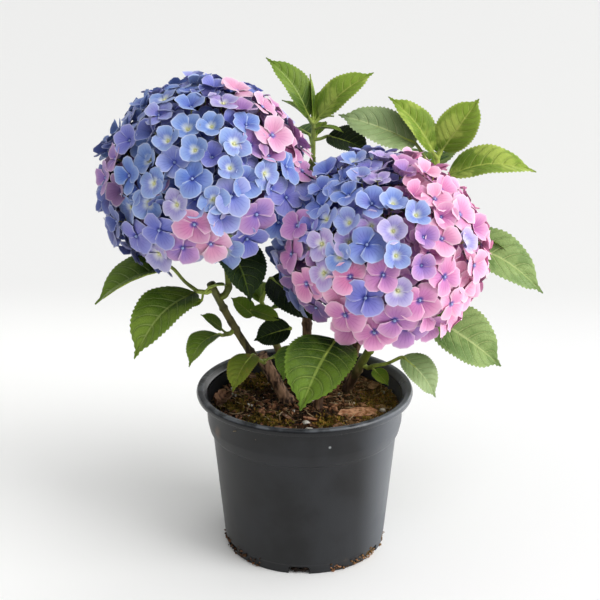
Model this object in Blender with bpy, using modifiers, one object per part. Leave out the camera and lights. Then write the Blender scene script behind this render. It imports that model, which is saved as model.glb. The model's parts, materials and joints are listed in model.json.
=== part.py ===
"""A mophead hydrangea in its nursery pot: two large blooms and twelve tufts of leaves on seven canes.

Metres, +Z up. The origin is the middle of the pot's underside, and the plant is seen from -Y.
"""

import math
import random

import bmesh
import bpy
from mathutils import Matrix, Quaternion, Vector
from mathutils.bvhtree import BVHTree

GAP = 0.0003

# The pot
RIM_RADIUS = 0.100
POT_HEIGHT = 0.1547
FOOT_RADIUS = 0.0754
WALL = 0.0016
WALL_SLOPE = 0.092
STEP_HEIGHT = 0.1124
STEP_OUT = 0.0024
FLOOR_HEIGHT = 0.0093
HUB_RADIUS = 0.026
FOOT_RING = 0.0042
NOTCH_COUNT = 6
NOTCH_WIDTH = 0.019
NOTCH_HEIGHT = 0.0074
FIRST_NOTCH = 266
POT_SIDES = 32

# The potting mix
SOIL_TOP = 0.1385
SOIL_CROWN = 0.045
SOIL_FALL = 0.002

# Canes, each with its path from below the soil's surface to its tip, as (x, y, z, radius)
CANE_SIDES = 6
SPAN_STEPS = 3
CANES = {
    "cane_left": [
        (-0.018, 0.024, 0.128, 0.0052),
        (-0.036, 0.017, 0.163, 0.0043),
        (-0.050, 0.013, 0.182, 0.0038),
        (-0.067, 0.008, 0.213, 0.0035),
        (-0.085, 0.000, 0.254, 0.0033),
    ],
    "cane_old": [
        (-0.011, 0.001, 0.128, 0.0068),
        (-0.027, 0.000, 0.159, 0.0056),
        (-0.040, -0.003, 0.186, 0.0045),
    ],
    "cane_right": [
        (0.036, 0.029, 0.128, 0.0052),
        (0.054, 0.015, 0.172, 0.0042),
        (0.065, 0.006, 0.197, 0.0037),
        (0.069, 0.000, 0.224, 0.0034),
    ],
    "cane_front": [
        (0.010, -0.012, 0.128, 0.0045),
        (0.016, -0.022, 0.165, 0.0036),
        (0.024, -0.034, 0.200, 0.0030),
    ],
    "cane_middle": [
        (-0.004, 0.034, 0.128, 0.0042),
        (-0.024, 0.034, 0.175, 0.0034),
        (-0.036, 0.034, 0.212, 0.0028),
    ],
    "cane_back_left": [
        (0.004, 0.050, 0.128, 0.0052),
        (0.002, 0.070, 0.200, 0.0044),
        (0.002, 0.086, 0.280, 0.0036),
        (0.008, 0.090, 0.350, 0.0030),
    ],
    "cane_back_right": [
        (0.032, 0.046, 0.128, 0.0052),
        (0.070, 0.078, 0.215, 0.0044),
        (0.104, 0.088, 0.285, 0.0036),
        (0.122, 0.078, 0.332, 0.0030),
    ],
}

# The green shoot that grew on from the pruned left cane
SHOOT = {
    "bough": "cane_left",
    "share": 0.88,
    "heading": 10,
    "points": [(0.006, 0.002, 0.010, 0.0033), (0.004, 0.006, 0.030, 0.0031), (-0.001, 0.008, 0.050, 0.0030)],
}

# Blooms: a dome of florets round a core, open below, on its own stalk
FLORET_SIDES = 12
FLORET_CUP = 0.0022
FLORET_NOTCH = 0.52
FLORET_SPREAD = 22
CORE_DEPTH = 0.009
CORE_SIDES = 14
CORE_RINGS = 5
ROOT_DEPTH = 0.022
ROOT_SHIFT = 0.88
PRESS = 0.0009
GOLDEN_ANGLE = math.pi * (3 - math.sqrt(5))
BLOOMS = {
    "bloom_left": {
        "bough": "shoot_left",
        "centre": (-0.088, 0.012, 0.346),
        "wide": 0.099,
        "tall": 0.094,
        "lean": (-0.32, -0.10),
        "reach": 122,
        "florets": 72,
        "sizes": (0.0285, 0.0385),
        "hollow": 0.042,
        "seed": 11,
    },
    "bloom_right": {
        "bough": "cane_right",
        "centre": (0.067, -0.022, 0.290),
        "wide": 0.097,
        "tall": 0.093,
        "lean": (0.14, -0.10),
        "reach": 124,
        "florets": 70,
        "sizes": (0.0285, 0.0385),
        "hollow": 0.042,
        "seed": 23,
    },
}

# Leaves
LEAF_ROWS = 5
YOUNG_ROWS = 3
LEAF_THICKNESS = 0.013
LEAF_SHARPNESS = (0.55, 1.0)
LEAF_WIDEST = LEAF_SHARPNESS[0] / sum(LEAF_SHARPNESS)
LEAF_FOLD = 0.30
PETIOLE_RADIUS = 0.0014
TWIG_RADIUS = 0.0022
PETIOLE_SIDES = 3
TWIG_SIDES = 5
LEAD = 0.003
RIB_SHARE = 0.14

# Leaves that grow by the seeded rule: pairs that fan out about the way their tuft faces, the first
# pair the widest, and a young leaf beside the foot of some grown ones
PAIR_STEP = 0.42
PAIR_FAN = (78, 36)
PAIR_LENGTHS = (0.068, 0.088)
PAIR_STALKS = (0.020, 0.030)
PAIR_RISE = (8, 26)
PAIR_DROOP = (14, 28)
YOUNG_CHANCE = 0.35
YOUNG_LENGTHS = (0.019, 0.030)
TUFT_REACH = 0.145

# Tufts of leaves. A tuft's twig leaves its bough at a share of the bough's length. Each leaf has the
# share of the twig where it grows, its stalk and its blade, as (heading, rise, length), and the roll
# of the blade about its midrib. Angles are in degrees: a heading counts from +X towards +Y, and a rise
# is above the level.
TUFTS = {
    "foliage_left": {
        "seed": 31,
        "bough": "cane_left",
        "share": 0.95,
        "twig": (190, 10, 0.010),
        "leaves": [
            dict(at=0.9, stalk=(176, 44, 0.032), blade=(190, -22, 0.076), width=0.046, arch=0.07, roll=-10),
            dict(at=1.0, stalk=(254, 5, 0.005), blade=(223, -30, 0.082), width=0.054, arch=0.12, roll=-8),
            dict(at=0.5, stalk=(250, -60, 0.008), blade=(200, -8, 0.021), width=0.010, arch=0.0, roll=-40),
        ],
    },
    "foliage_left_front": {
        "seed": 34,
        "bough": "shoot_left",
        "share": 0.75,
        "twig": (300, 10, 0.008),
        "leaves": [
            dict(at=1.0, stalk=(254, 45, 0.031), blade=(308, -46, 0.062), width=0.050, arch=0.08, roll=-8),
        ],
    },
    "foliage_left_low": {
        "seed": 37,
        "bough": "cane_left",
        "share": 0.64,
        "twig": (225, 5, 0.007),
        "leaves": [
            dict(at=1.0, stalk=(251, 19, 0.015), blade=(221, -27, 0.041), width=0.029, arch=0.18, roll=1),
            dict(at=0.6, stalk=(215, 40, 0.009), blade=(205, 42, 0.026), width=0.015, arch=0.05, roll=-40),
        ],
    },
    "foliage_foot": {
        "seed": 40,
        "bough": "cane_old",
        "share": 0.93,
        "twig": (262, 25, 0.008),
        "leaves": [
            dict(at=1.0, stalk=(238, 38, 0.019), blade=(243, -26, 0.043), width=0.027, arch=0.12, roll=0),
        ],
    },
    "foliage_middle": {
        "seed": 43,
        "bough": "cane_middle",
        "share": 1.0,
        "twig": (200, 70, 0.012),
        "leaves": [
            dict(at=0.3, stalk=(190, -25, 0.012), blade=(182, 42, 0.027), width=0.019, arch=0.05, roll=-50),
            dict(at=0.6, stalk=(228, 0, 0.016), blade=(345, -14, 0.030), width=0.018, arch=0.05, roll=30),
            dict(at=0.2, stalk=(317, -15, 0.034), blade=(183, -18, 0.036), width=0.026, arch=0.06, roll=-50),
            dict(at=1.0, stalk=(41, 60, 0.023), blade=(327, -33, 0.059), width=0.043, arch=0.06, roll=29),
        ],
    },
    "foliage_front": {
        "seed": 46,
        "bough": "cane_front",
        "share": 1.0,
        "twig": (275, 55, 0.010),
        "leaves": [
            dict(at=1.0, stalk=(274, 28, 0.027), blade=(243, -27, 0.078), width=0.059, arch=0.10, roll=-8),
            dict(at=0.1, stalk=(192, 14, 0.033), blade=(240, -42, 0.034), width=0.024, arch=0.10, roll=0),
        ],
    },
    "foliage_right_low": {
        "seed": 49,
        "bough": "cane_right",
        "share": 0.44,
        "twig": (330, 30, 0.008),
        "leaves": [
            dict(at=1.0, stalk=(334, 26, 0.030), blade=(335, -42, 0.048), width=0.032, arch=0.14, roll=25),
            dict(at=0.6, stalk=(290, 0, 0.007), blade=(308, -24, 0.022), width=0.014, arch=0.05, roll=20),
        ],
    },
    "foliage_right": {
        "seed": 52,
        "bough": "cane_right",
        "share": 0.90,
        "twig": (15, 20, 0.012),
        "leaves": [
            dict(at=1.0, stalk=(20, 0, 0.030), blade=(354, -33, 0.086), width=0.054, arch=0.08, roll=42),
            dict(at=0.8, stalk=(60, 10, 0.020), blade=(75, -25, 0.060), width=0.040, arch=0.12, roll=0),
        ],
    },
    "foliage_top_left": {
        "seed": 55,
        "bough": "cane_back_left",
        "share": 1.0,
        "twig": (270, 86, 0.030),
        "leaves": [
            dict(at=1.0, stalk=(180, 55, 0.008), blade=(180, 56, 0.067), width=0.032, arch=0.08, roll=-40),
            dict(at=1.0, stalk=(0, 45, 0.008), blade=(6, 41, 0.065), width=0.031, arch=0.10, roll=42),
            dict(at=1.0, stalk=(110, 72, 0.006), blade=(105, 76, 0.040), width=0.016, arch=0.0, roll=60),
            dict(at=0.9, stalk=(60, 65, 0.006), blade=(50, 68, 0.030), width=0.013, arch=0.0, roll=30),
            dict(at=0.5, stalk=(350, 15, 0.014), blade=(335, -14, 0.044), width=0.032, arch=0.06, roll=30),
            dict(at=0.3, stalk=(100, 20, 0.020), blade=(110, -12, 0.070), width=0.044, arch=0.12, roll=0),
        ],
    },
    "foliage_top_right": {
        "seed": 58,
        "bough": "cane_back_right",
        "share": 1.0,
        "twig": (300, 82, 0.018),
        "leaves": [
            dict(at=1.0, stalk=(180, 50, 0.008), blade=(180, 52, 0.066), width=0.031, arch=0.08, roll=-45),
            dict(at=1.0, stalk=(20, 60, 0.008), blade=(9, 55, 0.058), width=0.037, arch=0.06, roll=60),
            dict(at=0.15, stalk=(350, 0, 0.012), blade=(354, 7, 0.081), width=0.046, arch=0.12, roll=26),
            dict(at=0.4, stalk=(200, 50, 0.034), blade=(171, 20, 0.077), width=0.038, arch=0.06, roll=-50),
            dict(at=0.9, stalk=(80, 40, 0.008), blade=(70, 32, 0.034), width=0.020, arch=0.05, roll=0),
            dict(at=0.2, stalk=(90, 20, 0.020), blade=(80, -14, 0.074), width=0.046, arch=0.12, roll=0),
        ],
    },
    "foliage_back": {
        "seed": 61,
        "bough": "cane_back_left",
        "share": 0.62,
        "twig": (120, 20, 0.014),
        "pairs_face": 95,
        "leaves": [],
    },
    "foliage_back_right": {
        "seed": 64,
        "bough": "cane_back_right",
        "share": 0.72,
        "twig": (330, 10, 0.012),
        "pairs_face": 45,
        "leaves": [
            dict(at=1.0, stalk=(325, 6, 0.030), blade=(354, -27, 0.102), width=0.050, arch=0.10, roll=38),
        ],
    },
}


def clear_scene():
    for thing in list(bpy.data.objects):
        bpy.data.objects.remove(thing, do_unlink=True)


def new_collection(name):
    collection = bpy.data.collections.new(name)
    bpy.context.scene.collection.children.link(collection)
    return collection


def new_material(name, color, roughness):
    material = bpy.data.materials.new(name)
    material.use_nodes = True
    shader = material.node_tree.nodes["Principled BSDF"]
    shader.inputs["Base Color"].default_value = (*color, 1)
    shader.inputs["Roughness"].default_value = roughness
    shader.inputs["Metallic"].default_value = 0
    return material


def new_object(name, mesh, collection, material=None):
    thing = bpy.data.objects.new(name, mesh)
    collection.objects.link(thing)
    if material:
        mesh.materials.clear()
        mesh.materials.append(material)
        mesh.shade_smooth()
        mesh.set_sharp_from_angle(angle=math.radians(35))
    return thing


def mesh_from(shape, name):
    """Turns a bmesh into a mesh and frees it."""
    mesh = bpy.data.meshes.new(name)
    shape.to_mesh(mesh)
    shape.free()
    return mesh


def evaluated_mesh(thing):
    graph = bpy.context.evaluated_depsgraph_get()
    return bpy.data.meshes.new_from_object(thing.evaluated_get(graph))


def direction(heading, rise):
    turn, climb = math.radians(heading), math.radians(rise)
    return Vector((math.cos(turn) * math.cos(climb), math.sin(turn) * math.cos(climb), math.sin(climb)))


def smooth_path(points, steps):
    """Points along a smooth curve through the given ones, with any further values, such as a radius."""
    ends = [points[0] * 2 - points[1], *points, points[-1] * 2 - points[-2]]
    path = []
    for before, start, end, after in zip(ends, ends[1:], ends[2:], ends[3:]):
        for step in range(steps):
            t = step / steps
            path.append(
                start
                + (end - before) * (t / 2)
                + (before * 2 - start * 5 + end * 4 - after) * (t * t / 2)
                + (start * 3 - before - end * 3 + after) * (t**3 / 2)
            )
    path.append(points[-1])
    return path


def tube(name, path, collection, sides):
    """A closed tube along (x, y, z, radius) points."""
    curve = bpy.data.curves.new(name, "CURVE")
    curve.dimensions = "3D"
    curve.bevel_mode = "OBJECT"
    section = bpy.data.curves.new(name + "_section", "CURVE")
    section.dimensions = "2D"
    ring = section.splines.new("POLY")
    ring.points.add(sides - 1)
    for index, point in enumerate(ring.points):
        turn = 2 * math.pi * index / sides
        point.co = (math.cos(turn), math.sin(turn), 0, 1)
    ring.use_cyclic_u = True
    ring_object = new_object(name + "_section", section, collection)
    curve.bevel_object = ring_object
    curve.use_fill_caps = True
    spline = curve.splines.new("POLY")
    spline.points.add(len(path) - 1)
    for point, place in zip(spline.points, path):
        point.co = (*place[:3], 1)
        point.radius = place[3]
    line = new_object(name + "_line", curve, collection)
    mesh = evaluated_mesh(line)
    for helper in (line, ring_object):
        bpy.data.objects.remove(helper, do_unlink=True)
    shape = bmesh.new()
    shape.from_mesh(mesh)
    bmesh.ops.remove_doubles(shape, verts=shape.verts, dist=1e-6)
    bmesh.ops.recalc_face_normals(shape, faces=shape.faces)
    return new_object(name, mesh_from(shape, name), collection)


def fuse(name, pieces, collection, material):
    """Joins the pieces into one solid."""
    first, *others = pieces
    joining = new_collection(name + "_pieces")
    for piece in others:
        for holder in list(piece.users_collection):
            holder.objects.unlink(piece)
        joining.objects.link(piece)
    union = first.modifiers.new("union", "BOOLEAN")
    union.operation = "UNION"
    union.operand_type = "COLLECTION"
    union.collection = joining
    union.solver = "EXACT"
    mesh = evaluated_mesh(first)
    for piece in pieces:
        bpy.data.objects.remove(piece, do_unlink=True)
    bpy.data.collections.remove(joining)
    return new_object(name, mesh, collection, material)


def tree_of(thing):
    graph = bpy.context.evaluated_depsgraph_get()
    return BVHTree.FromObject(thing, graph)


def touches(thing, trees):
    own = tree_of(thing)
    return any(own.overlap(tree) for tree in trees.values())


def turned(name, profile, steps, collection):
    """A solid of revolution about Z, from a profile that ends by running down its outer side."""
    shape = bmesh.new()
    corners = [shape.verts.new((radius, 0, height)) for radius, height in profile]
    for start, end in zip(corners, corners[1:]):
        shape.edges.new((start, end))
    thing = new_object(name, mesh_from(shape, name), collection)
    screw = thing.modifiers.new("turn", "SCREW")
    screw.steps = steps
    screw.render_steps = steps
    screw.use_merge_vertices = True
    screw.merge_threshold = 0.0001
    screw.use_smooth_shade = False
    return thing


def wall_radius(height):
    return FOOT_RADIUS + WALL_SLOPE * height


def inner_profile(inset, top):
    """The pot's inside as far up as top, from the middle of its floor, drawn in by an inset."""
    step_radius = wall_radius(STEP_HEIGHT) - WALL - inset
    return [
        (0, 0.0030 + inset),
        (HUB_RADIUS - 0.002 - inset, 0.0030 + inset),
        (HUB_RADIUS + 0.005 - inset, FLOOR_HEIGHT + inset),
        (wall_radius(FLOOR_HEIGHT) - WALL - inset, FLOOR_HEIGHT + inset),
        (step_radius, STEP_HEIGHT),
        (step_radius + STEP_OUT, STEP_HEIGHT + 0.003),
        (step_radius + STEP_OUT + 0.09 * (top - STEP_HEIGHT), top),
    ]


def make_pot(collection, cutters, material):
    lip_inner = inner_profile(0, 0.1500)
    step_radius = wall_radius(STEP_HEIGHT)
    profile = lip_inner + [
        (RIM_RADIUS - 0.0055, POT_HEIGHT - 0.0003),
        (RIM_RADIUS - 0.0012, POT_HEIGHT),
        (RIM_RADIUS + 0.0002, POT_HEIGHT - 0.0030),
        (RIM_RADIUS - 0.0006, POT_HEIGHT - 0.0067),
        (step_radius + 0.0053, POT_HEIGHT - 0.0075),
        (step_radius + 0.0046, STEP_HEIGHT + 0.0120),
        (step_radius + STEP_OUT, STEP_HEIGHT + 0.0022),
        (step_radius, STEP_HEIGHT),
        (wall_radius(0.005), 0.005),
        (FOOT_RADIUS - 0.0002, 0),
        (FOOT_RADIUS - FOOT_RING, 0),
        (FOOT_RADIUS - FOOT_RING, FLOOR_HEIGHT - WALL),
        (HUB_RADIUS + 0.007, FLOOR_HEIGHT - WALL),
        (HUB_RADIUS, 0),
        (0, 0),
    ]
    pot = turned("pot", profile, POT_SIDES, collection)
    pot.data.materials.append(material)
    for index in range(NOTCH_COUNT):
        turn = math.radians(FIRST_NOTCH + index * 360 / NOTCH_COUNT)
        shape = bmesh.new()
        bmesh.ops.create_cube(shape, size=1)
        size = Matrix.Diagonal((FOOT_RING * 4, NOTCH_WIDTH, NOTCH_HEIGHT * 2, 1))
        place = Matrix.Rotation(turn, 4, "Z") @ Matrix.Translation((FOOT_RADIUS, 0, 0)) @ size
        bmesh.ops.transform(shape, matrix=place, verts=shape.verts)
        notch = new_object(f"notch_{index}", mesh_from(shape, "notch"), cutters)
        notch.hide_render = True
        notch.display_type = "WIRE"
    cut = pot.modifiers.new("notches", "BOOLEAN")
    cut.operation = "DIFFERENCE"
    cut.operand_type = "COLLECTION"
    cut.collection = cutters
    cut.solver = "EXACT"
    return pot


def make_soil(collection, material):
    inside = inner_profile(GAP, SOIL_TOP - SOIL_FALL)
    edge_radius = inside[-1][0]
    profile = [(0, SOIL_TOP), (SOIL_CROWN, SOIL_TOP), (edge_radius - 0.006, SOIL_TOP - SOIL_FALL * 0.6)]
    profile += list(reversed(inside))
    soil = turned("soil", profile, POT_SIDES, collection)
    soil.data.materials.append(material)
    return soil


def cut_level(thing, height):
    """Cuts a limb off flat at a height, and closes the cut."""
    shape = bmesh.new()
    shape.from_mesh(thing.data)
    everything = shape.verts[:] + shape.edges[:] + shape.faces[:]
    bmesh.ops.bisect_plane(
        shape, geom=everything, plane_co=(0, 0, height), plane_no=(0, 0, 1), clear_inner=True
    )
    bmesh.ops.holes_fill(shape, edges=[edge for edge in shape.edges if edge.is_boundary], sides=0)
    bmesh.ops.recalc_face_normals(shape, faces=shape.faces)
    shape.to_mesh(thing.data)
    shape.free()


def point_on(path, share):
    """Place, radius and way on of a point at a share of a limb's length."""
    lengths = [(end.xyz - start.xyz).length for start, end in zip(path, path[1:])]
    left = share * sum(lengths)
    for start, end, length in zip(path, path[1:], lengths):
        if left <= length or end is path[-1]:
            place = start.lerp(end, min(left / length, 1))
            return place.xyz, place.w, (end.xyz - start.xyz).normalized()
        left -= length
    return None


def start_off(path, share, way):
    """Where a side twig starts, just clear of its bough, and the way that it leaves."""
    place, radius, onward = point_on(path, share)
    if share >= 1:
        return place + onward * GAP, onward
    side = (way - onward * way.dot(onward)).normalized()
    return place + side * (radius + GAP), side


def branch_path(start, leaving, points, steps):
    """A limb's path that first goes straight off its bough, so that its foot stays clear of it."""
    radius = points[0].w
    lead = Vector((*(start + leaving * LEAD), radius))
    return [Vector((*start, radius)), *smooth_path([lead, *points], steps)]


def leaf_width(t):
    """Half of a leaf's outline, as a share of its greatest half width, from its base at 0 to its tip."""
    rising, falling = LEAF_SHARPNESS
    peak = LEAF_WIDEST**rising * (1 - LEAF_WIDEST) ** falling
    return t**rising * (1 - t) ** falling / peak


def leaf_frame(leaf):
    """The directions of a leaf's midrib, its right side and its upper face."""
    heading, rise, _ = leaf["blade"]
    way = direction(heading, rise)
    across = direction(heading - 90, 0)
    across.rotate(Quaternion(way, math.radians(leaf["roll"])))
    return way, across, across.cross(way)


def leaf_spine(base, way, length, arch, upper, t):
    lift = arch * length * (math.sin(math.pi * t) - 0.6 * t * t)
    return base + way * (length * t) + upper * lift


def make_leaf(name, base, leaf, collection):
    length = leaf["blade"][2]
    way, across, upper = leaf_frame(leaf)
    rows = LEAF_ROWS if length > YOUNG_LENGTHS[1] else YOUNG_ROWS
    shape = bmesh.new()
    bmesh.ops.create_grid(shape, x_segments=2, y_segments=rows, size=1)
    for vert in shape.verts:
        side, t = vert.co.x, (vert.co.y + 1) / 2
        half = max(leaf["width"] / 2 * leaf_width(t), 0.0007)
        middle = leaf_spine(base, way, length, leaf["arch"], upper, t)
        vert.co = middle + across * (side * half) + upper * (abs(side) * half * LEAF_FOLD)
    blade = new_object(name, mesh_from(shape, name), collection)
    thick = blade.modifiers.new("thickness", "SOLIDIFY")
    thick.thickness = length * LEAF_THICKNESS
    thick.offset = 0
    return blade


def make_stalk(name, start, base, leaf, collection):
    """A leaf's stalk, which runs on under the blade as the foot of its midrib."""
    length = leaf["blade"][2]
    way, _, upper = leaf_frame(leaf)
    rib = leaf_spine(base, way, length, leaf["arch"], upper, RIB_SHARE)
    thin = PETIOLE_RADIUS if length > 0.03 else PETIOLE_RADIUS * 0.7
    points = [Vector((*start, thin * 1.2)), Vector((*base, thin)), Vector((*rib, thin * 0.75))]
    return tube(name, points, collection, PETIOLE_SIDES)


def pair_rows(tuft, rng):
    """Pairs of grown leaves down the twig from its tip, fanned out about the way that the tuft faces."""
    rows = []
    if "pairs_face" not in tuft:
        return rows
    for index, fan in enumerate(PAIR_FAN):
        for side in (-1, 1):
            heading = tuft["pairs_face"] + side * fan + rng.uniform(-8, 8)
            length = rng.uniform(*PAIR_LENGTHS)
            rows.append(
                dict(
                    at=1 - PAIR_STEP * index,
                    stalk=(heading, rng.uniform(*PAIR_RISE), rng.uniform(*PAIR_STALKS)),
                    blade=(heading + rng.uniform(-10, 10), -rng.uniform(*PAIR_DROOP), length),
                    width=length * 0.62,
                    arch=0.12,
                    roll=0,
                )
            )
    return rows


def young_rows(leaves, rng):
    """Small leaves that sprout beside the feet of some of the grown ones."""
    rows = []
    for leaf in leaves:
        heading = leaf["stalk"][0] + rng.choice((-1, 1)) * rng.uniform(50, 110)
        rise = rng.uniform(15, 55)
        length = rng.uniform(*YOUNG_LENGTHS)
        row = dict(
            at=leaf["at"] * 0.9,
            stalk=(heading, rise, rng.uniform(0.006, 0.010)),
            blade=(heading + rng.uniform(-20, 20), rise - 20, length),
            width=length * 0.55,
            arch=0.06,
            roll=0,
        )
        if rng.random() < YOUNG_CHANCE:
            rows.append(row)
    return rows


def make_tuft(name, tuft, path, collection, material, trees):
    """A mass of leaves on one twig. A leaf that would touch a limb or another mass, or leave the
    tuft's own space, is skipped."""
    rng = random.Random(tuft["seed"])
    heading, rise, length = tuft["twig"]
    start, leaving = start_off(path, tuft["share"], direction(heading, rise))
    end = start + leaving * LEAD + direction(heading, rise) * length
    twig_path = branch_path(start, leaving, [Vector((*end, TWIG_RADIUS))], 2)
    pieces = [tube(name + "_twig", twig_path, collection, TWIG_SIDES)]
    grown = tuft["leaves"] + pair_rows(tuft, rng)
    for index, leaf in enumerate(grown + young_rows(grown, rng)):
        root, _, _ = point_on(twig_path, min(leaf["at"], 0.96))
        stalk_heading, stalk_rise, stalk_length = leaf["stalk"]
        base = root + direction(stalk_heading, stalk_rise) * stalk_length
        stalk = make_stalk(f"{name}_stalk_{index}", root, base, leaf, collection)
        sheet = make_leaf(f"{name}_sheet_{index}", base, leaf, collection)
        blade = new_object(f"{name}_leaf_{index}", evaluated_mesh(sheet), collection)
        bpy.data.objects.remove(sheet, do_unlink=True)
        tip = base + direction(*leaf["blade"][:2]) * leaf["blade"][2]
        strays = (tip - end).length > TUFT_REACH
        if strays or touches(stalk, trees) or touches(blade, trees):
            bpy.data.objects.remove(stalk, do_unlink=True)
            bpy.data.objects.remove(blade, do_unlink=True)
        else:
            pieces += [stalk, blade]
    return fuse(name, pieces, collection, material)


def bloom_frame(bloom):
    """Turns a bloom's own axes, with its crown along +Z, into the plant's."""
    crown = Vector((*bloom["lean"], 1)).normalized()
    turn = Vector((0, 0, 1)).rotation_difference(crown).to_matrix().to_4x4()
    return Matrix.Translation(bloom["centre"]) @ turn


def pressed(point, wall, clear):
    """Pushes a point back to its own side of the wall where two blooms meet."""
    place, normal = wall
    over = (point - place).dot(normal) + clear
    return point - normal * (over * 1.12) if over > 0 else point


def dome_point(wide, tall, polar, around):
    level = wide * math.sin(polar)
    return Vector((level * math.cos(around), level * math.sin(around), tall * math.cos(polar)))


def floret_places(bloom, wall):
    """Centre, way out, size, turn and root of each floret, small at the crown and large at the hem."""
    rng = random.Random(bloom["seed"])
    small, large = bloom["sizes"]
    wide, tall = bloom["wide"], bloom["tall"]
    frame = bloom_frame(bloom)
    places = []
    for index in range(bloom["florets"]):
        share = (index + 0.5) / bloom["florets"]
        down = share * small / (large - share * (large - small))
        polar = math.acos(1 - down * (1 - math.cos(math.radians(bloom["reach"]))))
        around = index * GOLDEN_ANGLE + rng.uniform(-0.05, 0.05)
        size = (small + (large - small) * down) * rng.uniform(0.94, 1.08)
        lift = rng.uniform(-0.0030, 0.0030)
        spin = rng.uniform(0, math.pi / 2)
        tilt = (rng.uniform(-0.12, 0.12), rng.uniform(-0.12, 0.12))
        local = dome_point(wide, tall, polar, around)
        root = dome_point(wide - ROOT_DEPTH, tall - ROOT_DEPTH, polar * ROOT_SHIFT, around)
        outward = Vector((local.x / wide**2, local.y / wide**2, local.z / tall**2)).normalized()
        outward = (outward + Vector((*tilt, 0))).normalized()
        centre = frame @ (local + outward * lift)
        outward = frame.to_3x3() @ outward
        place, normal = wall
        over = (centre - place).dot(normal)
        if over > 0.010:
            continue
        if over > -0.014:
            outward = (outward - normal * (0.7 * outward.dot(normal))).normalized()
        places.append((centre, outward, size, spin, pressed(frame @ root, wall, ROOT_DEPTH)))
    return places


def make_floret(name, place, wall, collection):
    """A floret of four broad petals, drawn out below into a stalk that roots in the core."""
    centre, outward, size, spin, root = place
    shape = bmesh.new()
    bmesh.ops.create_cone(
        shape,
        cap_ends=True,
        cap_tris=True,
        segments=FLORET_SIDES,
        radius1=0,
        radius2=size / 2,
        depth=CORE_DEPTH * 2,
    )
    bmesh.ops.remove_doubles(shape, verts=shape.verts, dist=1e-6)
    turn = Vector((0, 0, 1)).rotation_difference(outward).to_matrix().to_4x4()
    frame = Matrix.Translation(centre) @ turn @ Matrix.Rotation(spin, 4, "Z")
    rim = [vert for vert in shape.verts if vert.co.z > 0 and vert.co.xy.length > 1e-5]
    rim.sort(key=lambda vert: math.atan2(vert.co.y, vert.co.x))
    for index, vert in enumerate(rim):
        petal, corner = divmod(index, 3)
        turn = math.radians(90 * petal + (-FLORET_SPREAD, FLORET_SPREAD, 45)[corner])
        reach = size / 2 * (FLORET_NOTCH if corner == 2 else 1)
        vert.co = (reach * math.cos(turn), reach * math.sin(turn), FLORET_CUP * reach * 2 / size)
    for vert in shape.verts:
        if vert.co.xy.length < 1e-5 and vert.co.z < 0:
            vert.co = root
        else:
            vert.co.z = vert.co.z if vert in rim else 0
            vert.co = pressed(frame @ vert.co, wall, PRESS)
    bmesh.ops.recalc_face_normals(shape, faces=shape.faces)
    return new_object(name, mesh_from(shape, name), collection)


def make_core(name, bloom, wall, collection):
    """The dense middle of a bloom: a dome with a dished underside."""
    wide, tall = bloom["wide"] - CORE_DEPTH, bloom["tall"] - CORE_DEPTH
    reach = math.radians(bloom["reach"])
    hem_radius, hem_height = wide * math.sin(reach), tall * math.cos(reach)
    profile = []
    for ring in range(CORE_RINGS + 1):
        polar = reach * ring / CORE_RINGS
        profile.append((wide * math.sin(polar), tall * math.cos(polar)))
    profile.append((hem_radius * 0.55, hem_height + bloom["hollow"] * 0.8))
    profile.append((0, hem_height + bloom["hollow"]))
    dome = turned(name, profile, CORE_SIDES, collection)
    core = new_object(name + "_solid", evaluated_mesh(dome), collection)
    bpy.data.objects.remove(dome, do_unlink=True)
    frame = bloom_frame(bloom)
    for vert in core.data.vertices:
        vert.co = pressed(frame @ vert.co, wall, CORE_DEPTH)
    return core


def make_bloom(name, bloom, path, wall, collection, material):
    core = make_core(name + "_core", bloom, wall, collection)
    florets = [
        make_floret(f"{name}_floret_{index}", place, wall, collection)
        for index, place in enumerate(floret_places(bloom, wall))
    ]
    radius = path[-1].w
    start, onward = start_off(path, 1, None)
    inside = bloom_frame(bloom) @ Vector((0, 0, bloom["tall"] * 0.12))
    stalk_path = branch_path(start, onward, [Vector((*inside, radius))], 3)
    stalk = tube(name + "_stalk", stalk_path, collection, CANE_SIDES)
    return fuse(name, [core, stalk, *florets], collection, material)


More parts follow.
